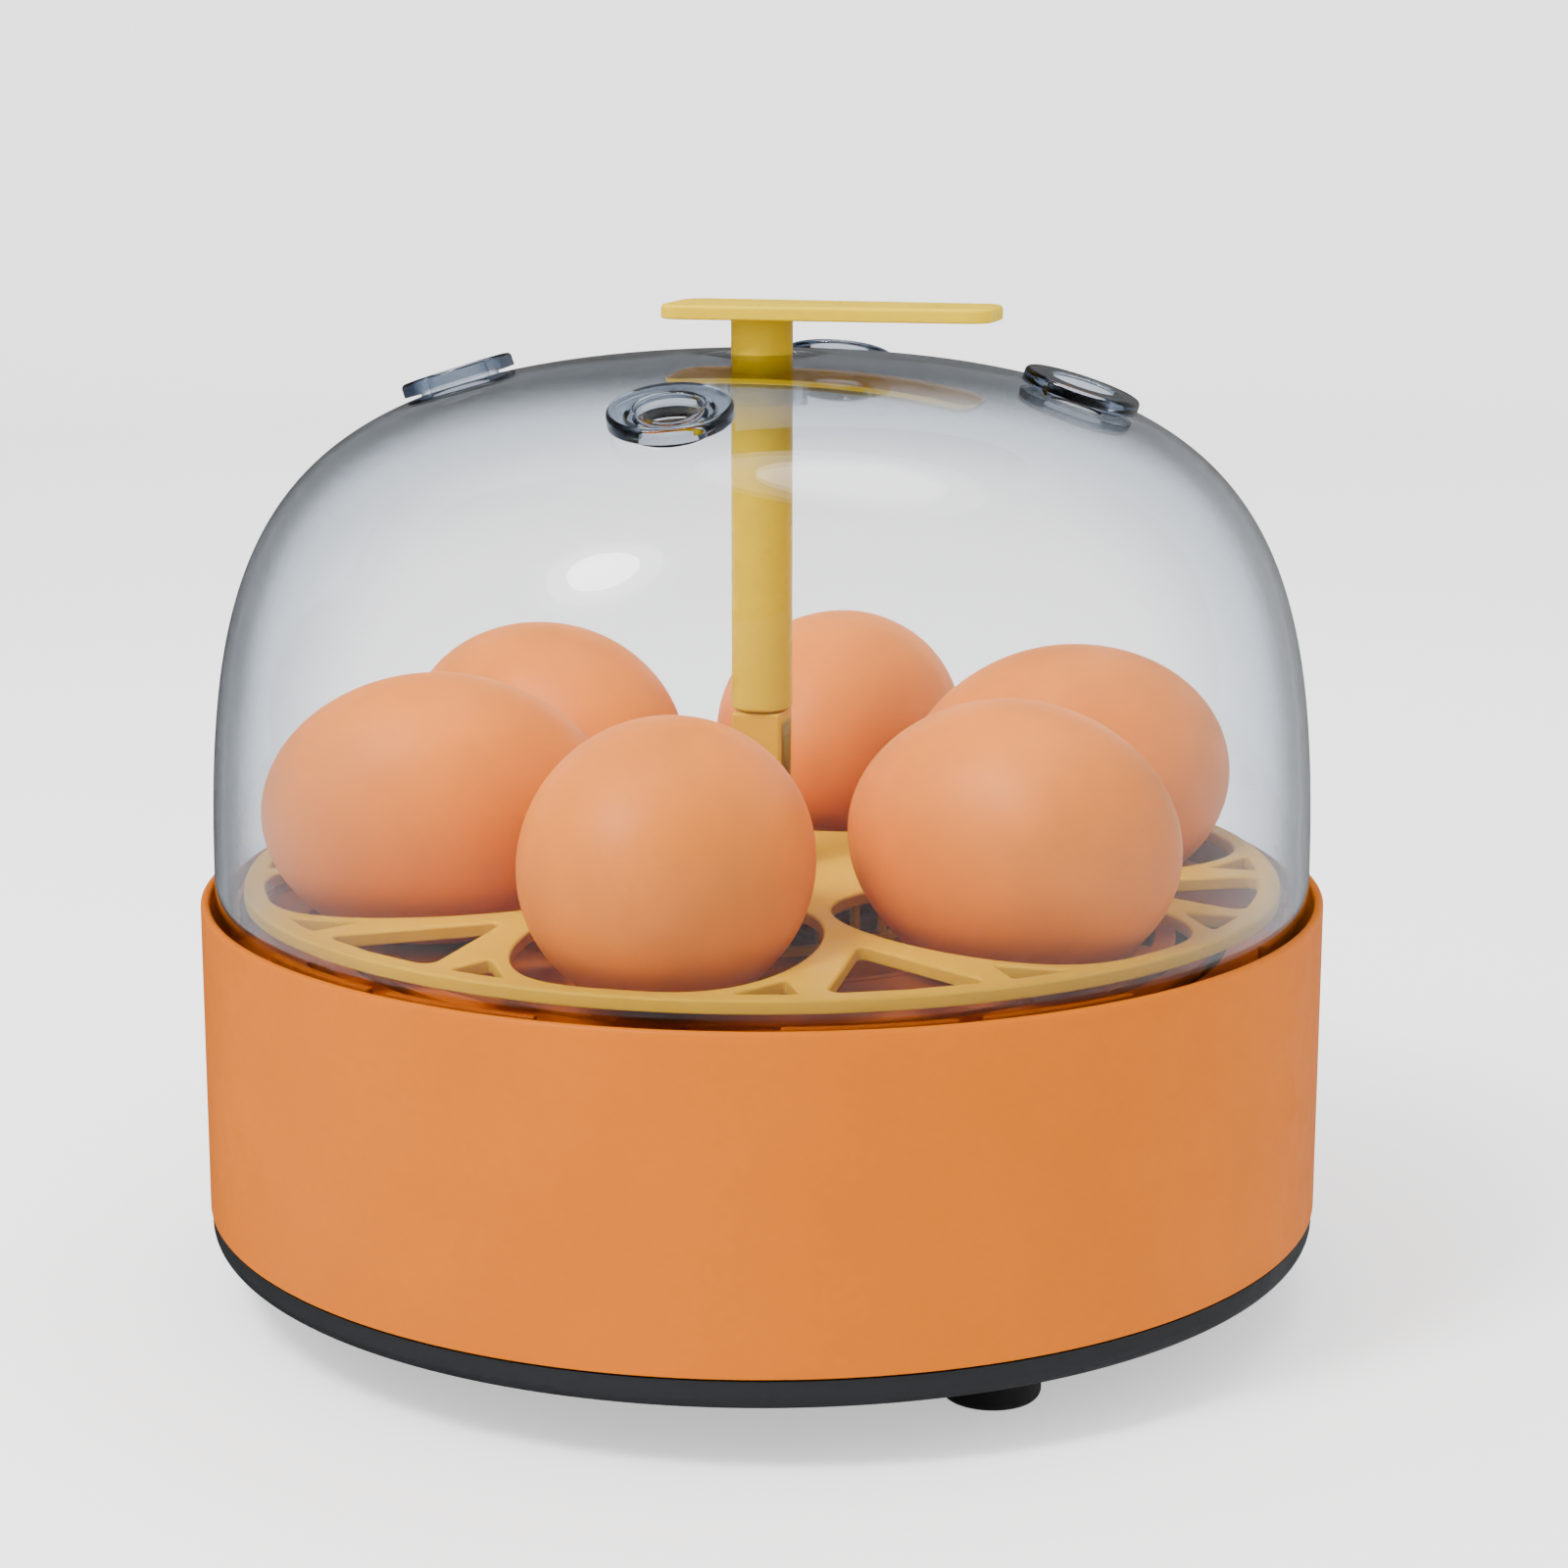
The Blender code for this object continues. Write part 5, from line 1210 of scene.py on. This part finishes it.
class INCUBATOR_OT_electronics(INCUBATOR_OT_piece):
    """Makes the control board with its parts and the display's board"""

    bl_idname = "incubator.electronics"
    bl_label = "Boards"

    def make(self, shape, colours):
        green = Finish("board_green", IOR=PLASTIC_IOR, Coat_Weight=0.6)
        mask = green.noise(4 * MM, 4.0)
        tracks = green.ramp(green.cells(3 * MM, "DISTANCE_TO_EDGE"), 1.0, 0.0, 0.06, 0.1)
        tint = green.blend(mask, srgb(24, 84, 52), srgb(34, 104, 64))
        tint = green.blend(tracks, tint, srgb(58, 134, 84))
        green.wire(Base_Color=tint, Roughness=green.ramp(mask, 0.3, 0.45))
        low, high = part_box("control_board")
        top = low.z + BOARD_THICKNESS
        x, y = (low.x + high.x) / 2, (low.y + high.y) / 2
        board = block("board_body", low, (high.x, high.y, top), green.material, 0.2 * MM)
        mount(board, "base", "board_green", "control_board")
        dark = moulded_plastic("part_plastic", srgb(32, 32, 36), 0.4)
        boxes = []
        for near, far, tall in BOARD_BLOCKS:
            start = (x + near[0] * MM, y + near[1] * MM, top)
            end = (x + far[0] * MM, y + far[1] * MM, top + tall * MM)
            boxes.append(block("part", start, end, dark, 0.3 * MM))
        mount(join("board_parts", boxes, dark), "base", "board_green")
        can = metal("capacitor_can", srgb(150, 152, 158), 0.3)
        radius, neck = 4 * MM, 3.7 * MM
        outline = [(0, top), (neck, top), (radius, top + 0.4 * MM), (radius, top + 1.4 * MM)]
        outline += [(neck, top + 1.7 * MM), (radius, top + 2 * MM)]
        outline += bend(radius, top + 9 * MM, 0.6 * MM, 0, 5) + [(0, top + 8.8 * MM)]
        place = Matrix.Translation((x - 14 * MM, y + 7 * MM, 0))
        capacitor = turned("capacitor", outline, shape.small_steps, can, place)
        mount(capacitor, "base", "board_green")
        low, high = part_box("display_board")
        board = block("display_board_body", low, high, green.material, 0.2 * MM)
        mount(board, "base", "board_green", "display_board")


# Stage --------------------------------------------------------------------------------------
SWEEP_SIZE = 3
SWEEP_FLAT = 1.5
SWEEP_RISE = 1.2
SWEEP_CELLS = 90
FLOOR_IOR = 1.4
SUN_SPREAD, SUN_TILT, SUN_TURN = 90, 28, -15
LIGHT_TARGET = Vector((0, 0, 0.08))
SENSOR_WIDTH = 36
CAMERA_PLACE = (0.1412, -0.5268, 0.1971)
CAMERA_PITCH, CAMERA_TURN = 90 - 11.828, 15
CAMERA_SHIFT = 0.0139


class INCUBATOR_OT_stage(Operator):
    """Sets the floor, the lights and the camera"""

    bl_idname = "incubator.stage"
    bl_label = "Stage"
    bl_options = {"REGISTER", "UNDO"}

    def execute(self, context):
        settings = context.scene.incubator_stage
        sweep = bmesh.new()
        cells = {"x_segments": SWEEP_CELLS, "y_segments": SWEEP_CELLS}
        bmesh.ops.create_grid(sweep, **cells, size=SWEEP_SIZE)
        for vertex in sweep.verts:
            vertex.co.z = SWEEP_RISE * max(0.0, vertex.co.length - SWEEP_FLAT) ** 2
        pale = Finish("floor_white", IOR=FLOOR_IOR, Emission_Color=WHITE,
                      Emission_Strength=settings.backdrop)
        cloud = pale.noise(0.4, 3.0)
        tint = pale.blend(cloud, (0.82, 0.82, 0.82, 1), (0.86, 0.86, 0.86, 1))
        pale.wire(Base_Color=tint, Roughness=pale.ramp(cloud, 0.6, 0.75))
        floor = add_piece("floor", sweep, pale.material)
        floor.data.shade_smooth()
        floor.visible_glossy = False
        power = settings.key_power
        fill = settings.fill_power
        lights = (
            ("key", (-33, 54, 1.1), (0.22, 0.3), power, True),
            ("key_halo", (-33, 54, 1.11), (0.36, 0.5), power * 0.5, True),
            ("key_skirt", (-33, 54, 1.12), (0.5, 0.66), power * 0.25, True),
            ("overhead", (160, 72, 1.2), (0.5, 0.36), power * 0.25, True),
            ("overhead_halo", (160, 72, 1.21), (0.8, 0.55), power * 0.3, True),
            ("left", (-85, 20, 1.1), (0.5, 0.9), fill, False),
            ("right", (85, 20, 1.1), (0.5, 0.9), fill, False),
        )
        sun = bpy.data.lights.new("sun", "SUN")
        sun.energy = settings.sun_power
        sun.angle = math.radians(SUN_SPREAD)
        daylight = bpy.data.objects.new("sun", sun)
        daylight.rotation_euler = (math.radians(SUN_TILT), 0, math.radians(SUN_TURN))
        daylight.visible_glossy = False
        daylight.visible_transmission = False
        context.scene.collection.objects.link(daylight)
        for name, (bearing, rise, away), size, watts, mirrored in lights:
            lamp = bpy.data.lights.new(name, "AREA")
            lamp.shape = "ELLIPSE"
            lamp.size, lamp.size_y = size
            lamp.energy = watts
            light = bpy.data.objects.new(name, lamp)
            level = math.cos(math.radians(rise)) * away
            place = Vector((*around(level, bearing), math.sin(math.radians(rise)) * away))
            light.location = place + LIGHT_TARGET
            light.rotation_euler = (-place).to_track_quat("-Z", "Y").to_euler()
            light.visible_glossy = mirrored
            light.visible_transmission = mirrored
            context.scene.collection.objects.link(light)
        world = bpy.data.worlds.new("surroundings")
        world.use_nodes = True
        sky = Graph(world.node_tree)
        towards = sky.node("ShaderNodeTexCoord", output="Generated")
        sides = sky.node("ShaderNodeSeparateXYZ", None, [towards])
        soft = {"interpolation_type": "SMOOTHSTEP"}
        glow = sky.node("ShaderNodeMapRange", soft, [sides, -0.3, 1.0, 0.6, 4.0]) * settings.ceiling
        background = world.node_tree.nodes["Background"]
        background.inputs["Color"].default_value = WHITE
        world.node_tree.links.new(glow.socket, background.inputs["Strength"])
        context.scene.world = world
        view = bpy.data.cameras.new("camera")
        view.lens = settings.lens
        view.sensor_width = SENSOR_WIDTH
        view.shift_x = CAMERA_SHIFT
        camera = bpy.data.objects.new("camera", view)
        camera.location = CAMERA_PLACE
        camera.rotation_euler = (math.radians(CAMERA_PITCH), 0, math.radians(CAMERA_TURN))
        context.scene.collection.objects.link(camera)
        context.scene.camera = camera
        return {"FINISHED"}


class INCUBATOR_PT_sidebar(Panel):
    """Sizes, colours and buttons for the incubator"""

    bl_label = "Incubator"
    bl_idname = "INCUBATOR_PT_sidebar"
    bl_space_type = "VIEW_3D"
    bl_region_type = "UI"
    bl_category = "Incubator"

    def draw(self, context):
        layout = self.layout
        for name in SETTINGS:
            group, box = getattr(context.scene, name), layout.box()
            for setting in group.__annotations__:
                box.prop(group, setting)
        for operator in OPERATORS:
            layout.operator(operator.bl_idname)


OPERATORS = (
    INCUBATOR_OT_shell,
    INCUBATOR_OT_underside,
    INCUBATOR_OT_deck,
    INCUBATOR_OT_lid,
    INCUBATOR_OT_handle,
    INCUBATOR_OT_tray,
    INCUBATOR_OT_eggs,
    INCUBATOR_OT_controls,
    INCUBATOR_OT_fan,
    INCUBATOR_OT_electronics,
    INCUBATOR_OT_stage,
)
SETTINGS = {
    "incubator_shape": IncubatorShape,
    "incubator_colours": IncubatorColours,
    "incubator_stage": IncubatorStage,
}
CLASSES = (*SETTINGS.values(), *OPERATORS, INCUBATOR_PT_sidebar)


def register():
    for kind in CLASSES:
        bpy.utils.register_class(kind)
    for name, group in SETTINGS.items():
        setattr(bpy.types.Scene, name, PointerProperty(type=group))


def unregister():
    for name in SETTINGS:
        delattr(bpy.types.Scene, name)
    for kind in reversed(CLASSES):
        bpy.utils.unregister_class(kind)


def main():
    register()
    for operator in OPERATORS:
        group, name = operator.bl_idname.split(".")
        getattr(getattr(bpy.ops, group), name)()


if __name__ == "__main__":
    main()
